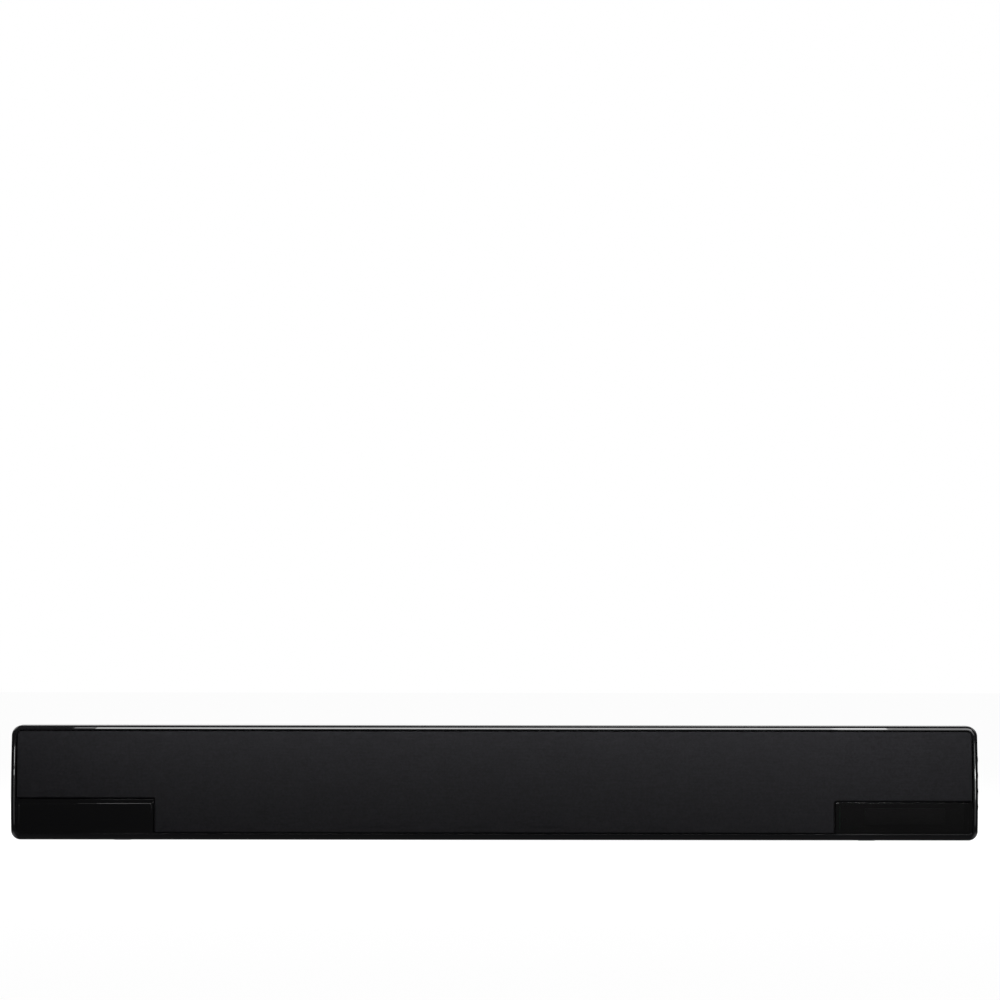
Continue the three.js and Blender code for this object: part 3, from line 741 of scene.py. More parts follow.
# ------------------------------------------------------------------ rear shell
def shell_raw():
    top = [(y, ZT - dz) for y, dx, dz in CASE_ROWS]
    bottom = [(y, ZB + dz) for y, dx, dz in reversed(CASE_ROWS)]
    section = top + bottom + [(-29.7, ZB + 3.0)] + [(y, ZB + case_dz(y) + 3.0) for y in (-18.0, 0.0, 20.0, 38.0)] + [(46.9, ZB + 9.5), (46.9, ZT - 9.5)] + [(y, ZT - case_dz(y) - 3.0) for y in (38.0, 20.0, 0.0, -18.0)] + [(-29.7, ZT - 3.0)]
    mid_y, mid_z = 10.0, (ZT + ZB) / 2
    xs = [-(CAP_X - 0.3), -(CAP_X - 0.7)] + list(np.linspace(-480, 480, 25)) + [CAP_X - 0.7, CAP_X - 0.3]
    rows = []
    for x in xs:
        k = 0.35 if abs(x) > CAP_X - 0.4 else 0.0
        row = []
        for i, (y, z) in enumerate(section):
            outer = i < len(top) + len(bottom)
            if outer and k:
                row.append((x, min(y, REAR_Y - k) if y > 45 else y, z - k if z > mid_z else z + k))
            else:
                row.append((x, y, z))
        rows.append(row)
    return skin(rows)


joins, cuts, deep = Raw(), Raw(), Raw()
for s in (-1, 1):
    joins.add(lathe([(0, 42), (28, 42), (28, 48), (0, 48)], 64, at=(s * PORT_X, 0, DRIVER_Z)))
    joins.add(rbox(s * KEY_X - 19, s * KEY_X + 19, 37.5, 48, 36, 88, 0))
    for z in (DRIVER_Z - 20, DRIVER_Z + 20):
        joins.add(lathe([(0, 36), (6, 36), (6, 48), (0, 48)], 32, at=(s * PAD_X, 0, z)))
        cuts.add(flared_round(3.3, 41, REAR_Y, (s * PAD_X, 0, z), 0.3, 40))
    cuts.add(flared_round(24.6, 47.2, REAR_Y, (s * PORT_X, 0, DRIVER_Z), 0.5, 96))
    deep.add(lathe([(0, 38), (18.4, 38), (18.4, 49), (0, 49)], 64, at=(s * PORT_X, 0, DRIVER_Z)))
    cuts.add(flared(rect(s * KEY_X - 15.4, s * KEY_X + 15.4, 40.1, 83.9), 3.0, 46.2, REAR_Y, 0.5))
    deep.add(prism(rect(s * KEY_X - 11, s * KEY_X + 11, 44, 80), 2.0, [(0, 40.5), (0, 46.8)]))
    # a fine groove round each bracket pad
    x0, x1, z0, z1 = s * PAD_X - 17, s * PAD_X + 17, 27.0, 96.2
    ring_rows = []
    for d, y in ((-0.5, 50.6), (0.15, 49.62), (0.6, 49.5), (1.05, 49.62), (1.7, 50.6)):
        ring_rows.append([(x, y, z) for x, z in fillet_poly(rect(x0, x1, z0, z1), 6.0, 10, d)])
    cuts.add(skin(ring_rows, ring=True))
joins.add(rbox(-99, 99, 37, 48, 26, 84, 0))
cuts.add(flared(rect(-95.5, 95.5, 29.5, 80.5), 4.0, 38.7, REAR_Y, 0.9, 8))
deep.add(prism(rect(-91, 91, 34, 76), 3.0, [(0, 30), (0, 39.5)]))
for x, z in SCREWS:
    joins.add(lathe([(0, 40), (6.5, 40), (6.5, 48), (0, 48)], 32, at=(x, 0, z)))
    cuts.add(flared_round(4.4, 43, REAR_Y, (x, 0, z), 0.5, 40))
    deep.add(lathe([(0, 38), (2.0, 38), (2.0, 44), (0, 44)], 24, at=(x, 0, z)))
for i in range(-7, 8):
    cuts.add(flared(rect(i * 11 - 1.7, i * 11 + 1.7, 90.5, 106.0), 1.65, 44, REAR_Y, 0.35, 6, 3))
me = carve("rear_case", shell_raw(), cuts=[cuts, deep], joins=[joins], sharp=34)
piece("rear_case", None, SATIN, replaces="rear_shell", mesh=me)
for s, side in ((-1, "left"), (1, "right")):
    wall = rbox(s * 140 - 1.5, s * 140 + 1.5, -29.5, 46.6, 4.9, 118.3, 0)
    hole = rbox(s * 140 - 3, s * 140 + 3, 15, 33, 48, 72, 0)
    piece(f"partition_{side}", None, SATIN, mesh=carve(f"partition_{side}", wall, cuts=[hole]))

# brass inserts in the bracket pads, with a groove round the outside, threaded inside
for s, side in ((-1, "left"), (1, "right")):
    for k, z in enumerate((DRIVER_Z - 20, DRIVER_Z + 20)):
        pr = [(2.45, 41.2)] + [(3.2, 41.4), (3.25, 44.0), (3.0, 44.2), (3.0, 45.0), (3.25, 45.2), (3.25, 49.3), (3.1, 49.7), (2.5, 49.75), (2.4, 49.5)]
        for j in range(10):
            y = 49.2 - j * 0.8
            pr += [(2.12, y), (2.42, y - 0.4)]
        piece(f"brass_insert_{side}_{'upper' if k else 'lower'}", lathe(pr, 48, ring=True, at=(s * PAD_X, 0, z)), BRASS)


# ------------------------------------------------------------------ end caps
def cap_raw(side, x_in, grow, y_front=None):
    """The end of the case beyond x_in as one closed solid."""
    pts = RIGHT
    rows = []
    for y, dx, dz in CASE_ROWS:
        if grow:
            dx, dz = dx + grow, dz + grow
            if y > 46.5:
                continue
        row = outline(y, dx, dz, pts)
        row = [(x_in, y, row[0][2])] + row + [(x_in, y, row[-1][2])]
        rows.append(row)
    if grow:
        rows[0] = [(x, -33.0, z) for x, y, z in rows[0]]
        last = rows[-1]
        rows.append([(x, 47.0, z) for x, y, z in last])
    raw = skin(rows)
    if side == "left":
        raw = raw.mapped(lambda x, y, z: (-x, y, z))
    return raw


def soft_edge_cap(side):
    outer = cap_raw("right", CAP_X, 0.0)
    inner = cap_raw("right", CAP_X - 4, 2.9)
    tools = [inner]
    if side == "right":
        holes = Raw()
        for z in BUTTON_Z:
            x_out = half_width(z) + 0.65
            holes.add(flared_round(BUTTON_R_HOLE, 500, x_out, (0, BUTTON_Y, z), 0.35, 64, axis="X"))
        tools.append(holes)
    me = carve(f"end_cap_{side}", outer, cuts=tools, sharp=30)
    if side == "left":
        for p in me.vertices:
            p.co.x = 2 * SX * MM - p.co.x
        me.flip_normals()
    return me


BUTTON_R_HOLE = 5.3
for side in ("left", "right"):
    piece(f"end_cap_{side}", None, GLOSS, replaces=f"{side}_end_cap", mesh=soft_edge_cap(side))


# ------------------------------------------------------------------ corner plates
def corner_plate(side):
    s = -1 if side == "left" else 1
    top = PLATE_TOP[side]
    outer, inner = HALF - 6.85 + SIDE_NARROW, PLATE_EDGE_X
    z0 = ZB + 6.75
    r_in = 1.6 if side == "left" else 3.0
    pts = rect(inner, outer, z0, top)
    radii = [0.6, 3.2, 0.9, r_in]
    if side == "left":
        # a low border, then a raised panel with a small round on its edge
        face = [(0.0, -38.8), (0.0, -48.72), (0.02, -48.77), (0.07, -48.8), (0.14, -48.802), (2.96, -48.858), (3.1, -48.87), (3.18, -48.95)]
        face += [(3.46 - 0.26 * math.cos(a), -49.14 - 0.26 * math.sin(a)) for a in np.linspace(0.05, math.pi / 2, 8)]
        face += [(8.0, -49.4)]
    else:
        face = [(0.0, -38.8), (0.0, -49.1)] + [(0.25 - 0.25 * math.cos(a), -49.12 - 0.25 * math.sin(a)) for a in np.linspace(0.1, math.pi / 2, 6)]
        face += [(4.0, -49.39), (8.0, -49.4)]
    # the skirt and front skin, then the hollow back
    raised = rect(inner - 1.15, outer, z0, top - 1.2)
    rows = [fillet_poly(raised, [3.6, 6.0, 6.0, 4.8], 8, d) if side == "left" and d > 3.0 else fillet_poly(pts, radii, 8, d) for d, y in face]
    raw = skin([[(x, y, z) for x, z in row] for row, (d, y) in zip(rows, face)], cap0=False, cap1=True)
    inside = skin([[(x, y, z) for x, z in fillet_poly(pts, radii, 8, d)] for d, y in ((2.0, -47.2), (2.0, -38.8))], cap0=True, cap1=False)
    rim = skin([[(x, -38.8, z) for x, z in fillet_poly(pts, radii, 8, d)] for d in (0.0, 2.0)], cap0=False, cap1=False)
    raw.add(inside, rim)
    return raw.mapped(lambda x, y, z: (bow(s * x, z), y, z))


piece("corner_plate_left", corner_plate("left"), PLATE, replaces="left_corner_plate", sharp=40)
piece("corner_window_right", corner_plate("right"), WINDOW, replaces="display_window", sharp=40)

# display module behind the window
mod = Raw().add(rbox(365, 492, -42.6, -41, 12.5, 37.5, 0.2))
piece("display_board", mod, BOARD_G, replaces="display_module")
mask = carve("display_mask", rbox(366.5, 497, -43.7, -43.0, 11.5, 38.6, 0.15), cuts=[rbox(392.2, 477.4, -45, -42, 17.8, 35.3, 0), lathe([(0, -45), (3.0, -45), (3.0, -42), (0, -42)], 32, at=(368.6 + 2.4, 0, 22.6))])
piece("display_mask", None, CHIP, mesh=mask)
piece("display_panel", rbox(392.6, 477.0, -46.7, -42.7, 18.2, 34.9, 0.5), SEGMENT)
eye = lathe([(0, -46.6), (1.2, -46.4), (2.1, -45.8), (2.6, -45.0), (2.7, -42.7), (0, -42.7)], 40, at=(371.0, 0, 22.6))
piece("receiver_eye", eye, CHIP)


# ------------------------------------------------------------------ grille cloth
def cloth_outline(inset):
    x = HALF - 7.2 + SIDE_NARROW
    zt, zb = ZT - 7.2 + SIDE_NARROW, ZB + 7.2
    pts = [(-NOTCH_X, zb), (NOTCH_X, zb), (NOTCH_X, NOTCH_TOP["right"]), (x, NOTCH_TOP["right"]), (x, zt), (-x, zt), (-x, NOTCH_TOP["left"]), (-NOTCH_X, NOTCH_TOP["left"])]
    radii = [1.2, 1.2, 3.0, 1.2, 4.2, 4.2, 1.2, 2.2]
    return fillet_poly(pts, radii, 7, inset)


def cloth_raw():
    rr = 1.5
    rows = [(0.0, -43.1), (0.0, -45.0)]
    for i in range(0, 7):
        a = math.pi / 2 * i / 6
        rows.append((rr * (1 - math.cos(a)), -48.55 + rr - rr * math.sin(a)))
    rows.append((3.0, -48.55))
    outer = skin([[(bow(x, z), y, z) for x, z in cloth_outline(d)] for d, y in rows], cap0=False, cap1=False)
    inner_rows = [(0.5, -43.1), (0.5, -46.8), (0.9, -47.6), (1.7, -48.05), (3.0, -48.05)]
    inner = skin([[(bow(x, z), y, z) for x, z in cloth_outline(d)] for d, y in inner_rows], cap0=False, cap1=False)
    hem = skin([[(bow(x, z), -43.1, z) for x, z in cloth_outline(d)] for d in (0.0, 0.5)], cap0=False, cap1=False)
    # the faces, in small triangles, so that the cloth can lie a little unevenly over its frame
    edge = cloth_outline(3.0)
    n = len(edge)
    pts = [Vector(p) for p in edge]
    for ix in range(-100, 101):
        for iz in range(0, 18):
            x = ix * 5.02 + (2.5 if iz % 2 else 0.0)
            z = ZB + 12.5 + iz * 5.85
            inside_all = abs(x) < HALF - 12.5 and z < ZT - 11.5
            notch = z < (NOTCH_TOP["left"] if x < 0 else NOTCH_TOP["right"]) + 5 and abs(x) > NOTCH_X - 5
            if inside_all and not notch:
                pts.append(Vector((x, z)))
    v, e, f, *_ = delaunay_2d_cdt(pts, [], [list(range(n))], 1, 1e-6)
    flat = [(p.x, p.y) for p in v]

    def lift(x, z):
        wave = 0.035 * math.sin(x * 0.021 + 1.3) * math.sin(z * 0.06 + 0.4) + 0.03 * math.sin(x * 0.053 + z * 0.031)
        return wave

    on_edge = {i for i in range(len(flat)) if min((flat[i][0] - a) ** 2 + (flat[i][1] - b) ** 2 for a, b in edge) < 1e-6}
    face_v = [(bow(x, z), -48.55 + (0.0 if i in on_edge else lift(x, z)), z) for i, (x, z) in enumerate(flat)]
    back_v = [(bow(x, z), -48.05 + (0.0 if i in on_edge else lift(x, z)), z) for i, (x, z) in enumerate(flat)]
    face = Raw(face_v, [tuple(t) for t in f])
    back = Raw(back_v, [tuple(t) for t in f])
    area = sum(abs((flat[t[1]][0] - flat[t[0]][0]) * (flat[t[2]][1] - flat[t[0]][1]) - (flat[t[2]][0] - flat[t[0]][0]) * (flat[t[1]][1] - flat[t[0]][1])) / 2 for t in f)
    return outer.add(inner, hem, face, back), area


cloth_mesh, face_area = cloth_raw()
cloth = piece("grille_fabric_cover", cloth_mesh, CLOTH, body="grille", replaces="grille_cloth", sharp=60)


# ------------------------------------------------------------------ buttons
def dome(r):
    return 1.86 - 0.42 * (r / 4.3) ** 2.4


def button_raw():
    pr = [(0, -9.6), (1.9, -9.6), (2.2, -9.3), (2.2, -5.3), (6.2, -5.2), (6.2, -3.95), (5.0, -3.8), (5.0, 0.55)]
    pr += [(4.3 + 0.7 * math.cos(a), 0.74 + 0.70 * math.sin(a)) for a in np.linspace(0.1, math.pi / 2 - 0.15, 6)]
    pr += [(r, dome(r)) for r in (3.9, 3.4, 2.8, 2.1, 1.4, 0.7)] + [(0, 1.86)]
    return lathe(pr, 64, axis="X")


def stroke(points, w=0.5, closed=False, n=10):
    """A drawn line as a thin closed strip lying on the button's crown. Points are (y, z) about the button's middle."""
    P = [Vector(p) for p in points]
    if closed:
        P = P + [P[0]]
    Q = dense([Vector((p.x, p.y, 0)) for p in P], 0.25)
    rows = []
    for i, q in enumerate(Q):
        if closed:
            a, b = Q[(i - 1) % (len(Q) - 1)], Q[(i + 1) % (len(Q) - 1)]
        else:
            a, b = Q[max(0, i - 1)], Q[min(len(Q) - 1, i + 1)]
        d = (b - a).normalized()
        nrm = Vector((-d.y, d.x, 0))
        row = []
        for off, up in ((-w / 2, -0.25), (w / 2, -0.25), (w / 2, 0.02), (0, 0.03), (-w / 2, 0.02)):
            p = q + nrm * off
            row.append((dome(math.hypot(p.x, p.y)) + up, p.x, p.y))
        rows.append(row)
    if closed:
        return skin(rows[:-1], ring=True)
    return skin(rows)


def circle(r, a0=0, a1=360, n=40):
    return [(r * math.cos(math.radians(a0 + (a1 - a0) * i / n)), r * math.sin(math.radians(a0 + (a1 - a0) * i / n))) for i in range(n + 1)]


LEGENDS = {
    "power": [stroke(circle(2.0, 122, 418)), stroke([(0, 0.5), (0, 2.5)])],
    "source": [stroke([(0.4, 1.9), (2.2, 1.9), (2.2, -1.9), (0.4, -1.9)]), stroke([(-2.4, 0), (0.9, 0)]), stroke([(-0.1, 1.0), (0.95, 0), (-0.1, -1.0)])],
    "volume_up": [stroke([(-2.0, 0), (2.0, 0)]), stroke([(0, -2.0), (0, 2.0)])],
    "volume_down": [stroke([(-2.0, 0), (2.0, 0)])],
}
for name, z in zip(BUTTONS, BUTTON_Z):
    at = (half_width(z) + 0.65, BUTTON_Y, z)
    body = f"button_{name}"
    piece(f"push_button_{name}", button_raw().moved(*at), GLOSS, body=body, replaces=body)
    mark = Raw()
    for st in LEGENDS[name]:
        mark.add(st)
    piece(f"button_legend_{name}", mark.moved(*at), ICON, body=body, sharp=50)


# ------------------------------------------------------------------ screws
def cross_cutter(r, y_in, y_out, at):
    bars = []
    for ang in (0.0, math.pi / 2):
        rows = []
        for y, k in ((y_in, 0.45), (y_out + 0.4, 1.0)):
            h, w = r * k, 0.34 * r
            sq = [(-h, -w), (h, -w), (h, w), (-h, w)]
            rows.append([(at[0] + x * math.cos(ang) - z * math.sin(ang), y, at[2] + x * math.sin(ang) + z * math.cos(ang)) for x, z in sq])
        bars.append(skin(rows))
    return bars


def pan_screw(r, y_seat, y_top, shank_r, y_tip, at=(0, 0, 0)):
    h = y_top - y_seat
    pr = [(0, y_tip), (shank_r * 0.5, y_tip + 1.0)]
    y = y_tip + 2.4
    while y < y_seat - 1.4:
        pr += [(shank_r, y), (shank_r * 0.72, y + 0.35), (shank_r * 0.72, y + 0.6)]
        y += 0.95
    pr += [(shank_r, y_seat - 0.6), (shank_r, y_seat), (r, y_seat), (r, y_seat + h * 0.35)]
    pr += [(r - 0.42 * h + 0.42 * h * math.cos(a), y_seat + h * 0.35 + h * 0.6 * math.sin(a)) for a in np.linspace(0.25, math.pi / 2, 6)]
    pr += [(0, y_top)]
    return lathe(pr, 40, at=at)


screw_me = carve("case_screw_mesh", pan_screw(3.7, 43.35, 45.75, 1.5, 26.2), cuts=cross_cutter(1.9, 44.1, 45.75, (0, 0, 0)), sharp=34)
for i, (x, z) in enumerate(SCREWS, 1):
    m2 = screw_me.copy()
    for p in m2.vertices:
        p.co.x += x * MM
        p.co.z += z * MM
    piece(f"cross_head_screw_{i}", None, SCREW_STEEL, replaces=f"case_screw_{i}", mesh=m2)

# ------------------------------------------------------------------ ports
flare = [(15.2, 3.2), (16.4, 3.0), (17.8, 3.4), (18.0, 4.2), (18.0, 47.6), (23.9, 47.6), (24.2, 47.9), (24.2, 49.2), (23.9, 49.55), (22.6, 49.6)]
flare += [(22.2 - 7.2 * math.sin(a), 43.0 + 6.55 * math.cos(a)) for a in np.linspace(0.12, math.pi / 2, 14)]
flare += [(15.0, 30), (15.0, 8), (15.0, 4.5)]
for s, side in ((-1, "left"), (1, "right")):
    piece(f"port_flare_{side}", lathe(flare, 96, ring=True, at=(s * PORT_X, 0, DRIVER_Z)), SATIN, replaces=f"reflex_port_{side}")

# ------------------------------------------------------------------ keyhole hangers
for s, side in ((-1, "left"), (1, "right")):
    x = s * KEY_X
    plate = prism(rect(x - 14.9, x + 14.9, 40.6, 83.4), 2.4, [(0.25, 46.5), (0.0, 46.7), (0.0, 47.7), (0.12, 47.9), (0.35, 48.0)], 6)
    hole = Raw()
    pts = []
    r1, r2, z1, z2 = 4.75, 2.45, 52.0, 70.0
    a1 = math.asin(r2 / r1)
    outline_pts = [(x + r1 * math.sin(a), z1 - r1 * math.cos(a)) for a in np.linspace(-(math.pi - a1), math.pi - a1, 49)]
    outline_pts += [(x + r2 * math.cos(a), z2 + r2 * math.sin(a)) for a in np.linspace(0, math.pi, 25)]

    def offset(pts, d):
        out = []
        n = len(pts)
        for i in range(n):
            a, b = Vector(pts[i - 1]), Vector(pts[(i + 1) % n])
            t = (b - a).normalized()
            out.append((pts[i][0] + t.y * d, pts[i][1] - t.x * d))
        return out

    rows = [[(px, y, pz) for px, pz in offset(outline_pts, d)] for d, y in ((0.0, 46.0), (0.0, 47.75), (0.1, 47.92), (0.4, 48.2))]
    hole = skin(rows)
    rivets = Raw()
    for rx, rz in ((x - 11.2, 43.8), (x + 11.2, 43.8), (x - 11.2, 80.2), (x + 11.2, 80.2)):
        rivets.add(flared_round(1.6, 47.3, 48.0, (rx, 0, rz), 0.2, 24))
    piece(f"keyhole_plate_{side}", None, ZINC, replaces=f"keyhole_hanger_{side}", mesh=carve(f"keyhole_plate_{side}", plate, cuts=[hole, rivets], sharp=34))

# ------------------------------------------------------------------ feet
for s, side in ((-1, "left"), (1, "right")):
    lo_, hi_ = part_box(f"foot_{side}")
    x0, x1 = lo_.x / MM - SX, hi_.x / MM - SX

    def top(y):
        return ZB + case_dz(y) - 0.4

    ys = [-24.0, -23.6, *np.linspace(-22, 36, 40), 37.6, 38.0]
    rows = []
    for i, y in enumerate(ys):
        end = 0.45 if i in (0, len(ys) - 1) else 0.0
        rib = 0.35 if (i % 4 in (1, 2) and 2 < i < len(ys) - 3) else 0.0
        zt = max(0.75, top(y) - 0.02)
        rows.append([(x0 + end, y, 0.4 + end * 0.3), (x0 + 0.5 + end, y, end * 0.5), (x0 + 3.0, y, end * 0.5), (x0 + 3.4, y, rib + end * 0.5), (x1 - 3.4, y, rib + end * 0.5), (x1 - 3.0, y, end * 0.5), (x1 - 0.5 - end, y, end * 0.5), (x1 - end, y, 0.4 + end * 0.3), (x1 - end, y, zt - 0.15), (x1 - 0.3 - end, y, zt), (x0 + 0.3 + end, y, zt), (x0 + end, y, zt - 0.15)])
    piece(f"rubber_foot_{side}", skin(rows), RUBBER, replaces=f"foot_{side}")

# ------------------------------------------------------------------ terminal bay
IX = -75.0
plate = prism(rect(-94.9, 94.9, 30.1, 79.9), 3.4, [(0.0, 39.15), (0.0, 40.6), (0.15, 40.85), (0.4, 40.95)], 6)
frames = Raw()
for x0, x1, z0, z1 in ((IX - 14.2, IX + 14.2, 42.8, 63.2), (-40.2, -21.8, 42.8, 60.2), (-2.4, 46.4, 42.8, 60.2), (59.8, 78.2, 42.8, 60.2)):
    frames.add(prism(rect(x0, x1, z0, z1), 2.0, [(0.0, 40.2), (0.0, 41.3), (0.15, 41.5), (0.4, 41.6)], 5))
holes = Raw()
for x0, x1, z0, z1 in ((IX - 12.3, IX + 12.3, 44.7, 61.3), (-38.3, -23.7, 44.7, 58.3), (-0.3, 44.3, 44.7, 58.3), (61.7, 76.3, 44.7, 58.3)):
    holes.add(prism(rect(x0, x1, z0, z1), 0.6, [(0.0, 37.0), (0.0, 44.0)], 3))
for x, z in ((-89, 74.5), (89, 74.5), (-89, 35.5), (89, 35.5)):
    holes.add(flared_round(1.4, 38.5, 40.95, (x, 0, z), 0.3, 20))
piece("terminal_panel", None, SATIN, replaces="terminal_plate", mesh=carve("terminal_panel", plate, cuts=[holes], joins=[frames], sharp=34))
for i, (x, z) in enumerate(((-89, 74.5), (89, 74.5), (-89, 35.5), (89, 35.5)), 1):
    me = carve(f"panel_screw_{i}", pan_screw(2.5, 41.0, 42.5, 1.2, 32.0, (x, 0, z)), cuts=cross_cutter(1.3, 41.5, 42.5, (x, 0, z)), sharp=34)
    piece(f"panel_screw_{i}", None, SCREW_STEEL, mesh=me)

# mains inlet: a figure-of-eight well with two pins
block = rbox(IX - 11.9, IX + 11.9, 20.2, 42.9, 45.1, 60.9, 0.8, 3)
eight = []
for a in np.linspace(-math.pi * 0.72, math.pi * 0.72, 29):
    eight.append((IX + 4.3 + 4.35 * math.cos(a), 53 + 4.35 * math.sin(a)))
for a in np.linspace(math.pi * 0.28, math.pi * 1.72, 29):
    eight.append((IX - 4.3 + 4.35 * math.cos(a), 53 + 4.35 * math.sin(a)))


def around(pts, d, y):
    out = []
    n = len(pts)
    for i in range(n):
        a, b = Vector(pts[i - 1]), Vector(pts[(i + 1) % n])
        t = (b - a).normalized()
        out.append((pts[i][0] + t.y * d, y, pts[i][1] - t.x * d))
    return out


well = skin([around(eight, d, y) for d, y in ((0.0, 32.0), (0.0, 42.4), (0.15, 42.75), (0.5, 42.95), (0.6, 43.6))])
piece("mains_inlet_body", None, SOCKET, replaces="mains_inlet", mesh=carve("mains_inlet_body", block, cuts=[well], sharp=34))
for k, dx in (("left", -4.3), ("right", 4.3)):
    pin = lathe([(0, 31.5), (1.2, 31.5), (1.2, 39.6), (1.05, 40.4), (0.7, 40.85), (0, 41.0)], 28, at=(IX + dx, 0, 53))
    piece(f"mains_pin_{k}", pin, NICKEL)

# optical socket with its spring shutter
ob = rbox(-37.9, -24.1, 24.2, 42.9, 45.1, 57.9, 0.5, 2)
oh = Raw().add(flared(rect(-34.6, -27.4, 47.9, 55.1), 0.8, 39.6, 42.9, 0.25, 4, 3))
piece("optical_body", None, SOCKET, replaces="optical_socket", mesh=carve("optical_body", ob, cuts=[oh], sharp=34))
sh = prism(rect(-34.3, -27.7, 48.2, 54.8), 0.5, [(0.0, 41.0), (0.0, 41.6), (0.2, 41.9), (0.5, 42.0)], 3)
piece("optical_shutter", sh, SHUTTER)
piece("shutter_hinge", lathe([(0, -3.3), (0.45, -3.3), (0.45, 3.3), (0, 3.3)], 16, axis="X", at=(-31, 42.1, 54.9)), NICKEL)


def phono(prefix, x, colour, name, first):
    z = 51.5
    shell = lathe([(4.9, 41.9), (4.9, 42.6), (4.15, 42.8), (4.15, 48.6), (4.0, 48.85), (3.95, 49.2), (3.7, 49.35), (3.3, 49.35), (3.2, 49.1), (3.2, 42.3), (3.2, 41.95)], 56, ring=True, at=(x, 0, z))
    piece(f"{prefix}_barrel", shell, NICKEL)
    ins = lathe([(3.15, 42.0), (3.15, 48.6), (2.9, 48.9), (2.1, 48.95), (1.8, 48.7), (1.75, 42.2), (1.75, 42.0)], 48, ring=True, at=(x, 0, z))
    piece(f"{prefix}_insulator", ins, colour)
    cup = lathe([(0, 42.0), (1.7, 42.0), (1.7, 47.6), (1.5, 47.9), (1.4, 47.6), (1.4, 43.0), (0, 43.0)], 32, at=(x, 0, z))
    piece(f"{prefix}_contact", cup, NICKEL)


ab = rbox(0.1, 43.9, 24.2, 41.8, 45.1, 57.9, 0.5, 2)
piece("aux_block_body", ab, SOCKET, replaces="aux_jack_block")
for i, (x, c) in enumerate(((8, WHITE_P), (22, RED_P), (36, BLACK_WIRE)), 1):
    phono(f"aux_jack_{i}", x, c, "aux", i == 1)
sb = rbox(62.1, 75.9, 24.2, 41.8, 45.1, 57.9, 0.5, 2)
piece("sub_jack_body", sb, SOCKET, replaces="sub_out_jack")
phono("sub_jack", 69, VIOLET_P, "sub", True)

# ------------------------------------------------------------------ baffle, grille frame: CAD shapes kept, with their own finish
for node in ("baffle", "grille_frame"):
    o = frame["nodes"][node]
    o.data.materials.clear()
    o.data.materials.append(INNER.m)


# ------------------------------------------------------------------ drivers
def woofer(i, x):
    at = (x, BAFFLE_Y, DRIVER_Z)
    n = f"woofer_{i}"
    basket = [(38.3, -0.35), (38.45, -0.6), (38.45, -3.5), (38.2, -3.9), (37.6, -4.0), (36.1, -4.0), (35.7, -3.7), (35.6, -1.45), (32.5, -1.4), (31.9, 1.0), (31.2, 6.0), (19.8, 21.4), (19.2, 21.8), (13.05, 21.8), (13.05, 23.75), (21.0, 23.75), (22.0, 23.2), (34.0, 7.2), (34.2, 6.0), (34.2, -0.35)]
    body = lathe(basket, 96, ring=True, at=at)
    # windows in the basket's cone
    cut = Raw()
    for k in range(6):
        a = math.pi / 3 * k + math.pi / 6
        bx = rbox(-6.5, 6.5, 9.0, 19.0, 18.0, 40.0, 1.2, 2)
        cut.add(bx.mapped(lambda X, Y, Z, a=a: (X * math.cos(a) + Z * math.sin(a) + at[0], Y + at[1], -X * math.sin(a) + Z * math.cos(a) + at[2])))
    me = carve(f"{n}_chassis", body, cuts=[cut], sharp=34)
    piece(f"{n}_chassis", None, BLACK_STEEL, replaces=f"{n}_basket", mesh=me)
    mag = Raw().add(lathe([(12.2, 24.25), (25.6, 24.25), (26.0, 24.6), (26.0, 35.0), (25.7, 35.4), (12.2, 35.4)], 80, ring=True, at=at))
    piece(f"{n}_ferrite_ring", mag, FERRITE, replaces=f"{n}_magnet")
    yoke = lathe([(0, 20.0), (9.1, 20.0), (9.3, 20.3), (9.3, 35.5), (25.0, 35.5), (25.4, 35.9), (25.4, 37.5), (25.0, 38.0), (6.0, 38.0), (4.5, 36.8), (0, 36.6)], 80, at=at)
    piece(f"{n}_yoke", yoke, PLATED)
    sur = [(35.3, -1.65), (35.3, -2.3), (34.95, -2.6)]
    sur += [(32.2 + 2.55 * math.cos(a), -3.0 - 2.5 * math.sin(a)) for a in np.linspace(0.1, math.pi - 0.1, 16)]
    sur += [(29.45, -2.2), (29.4, 1.0), (30.0, 1.1), (30.1, -2.6)]
    sur += [(32.2 - 1.9 * math.cos(a), -3.0 - 1.8 * math.sin(a)) for a in np.linspace(0.15, math.pi - 0.15, 12)]
    sur += [(34.2, -2.3), (34.0, -1.65)]
    piece(f"{n}_roll_surround", lathe(sur, 96, ring=True, at=at), SURROUND, replaces=f"{n}_surround")
    cn = [(0, 9.2), (2.5, 9.4), (5.0, 10.1), (7.2, 11.2), (9.0, 12.6), (9.9, 13.5), (10.2, 13.75), (10.9, 13.5)]
    for k in range(1, 12):
        t = k / 12
        cn.append((10.9 + (28.6 - 10.9) * t, 13.5 - 12.6 * t ** 0.86 - 0.12 * math.sin(t * math.pi * 4)))
    cn += [(28.6, 0.95), (28.95, 0.7), (28.95, 1.7), (28.4, 1.75), (20.0, 8.8), (11.4, 15.1), (11.0, 16.2), (10.9, 28.1), (9.95, 28.1), (9.95, 15.0), (8.6, 13.2), (5.0, 11.0), (0, 10.2)]
    piece(f"{n}_paper_cone", lathe(cn, 96, at=at), PAPER, body=f"{n}_cone", replaces=f"{n}_cone")
    heads = Raw()
    for k in range(4):
        a = math.pi / 2 * k + math.pi / 4
        hx, hz = 37.0 * math.cos(a), 37.0 * math.sin(a)
        heads.add(lathe([(0, -4.0), (1.2, -4.0), (1.2, -4.9), (0.95, -5.25), (0.35, -5.3), (0.3, -5.0), (0, -4.95)], 20, at=(at[0] + hx, at[1], at[2] + hz)))
    piece(f"{n}_screws", heads, SCREW_STEEL)


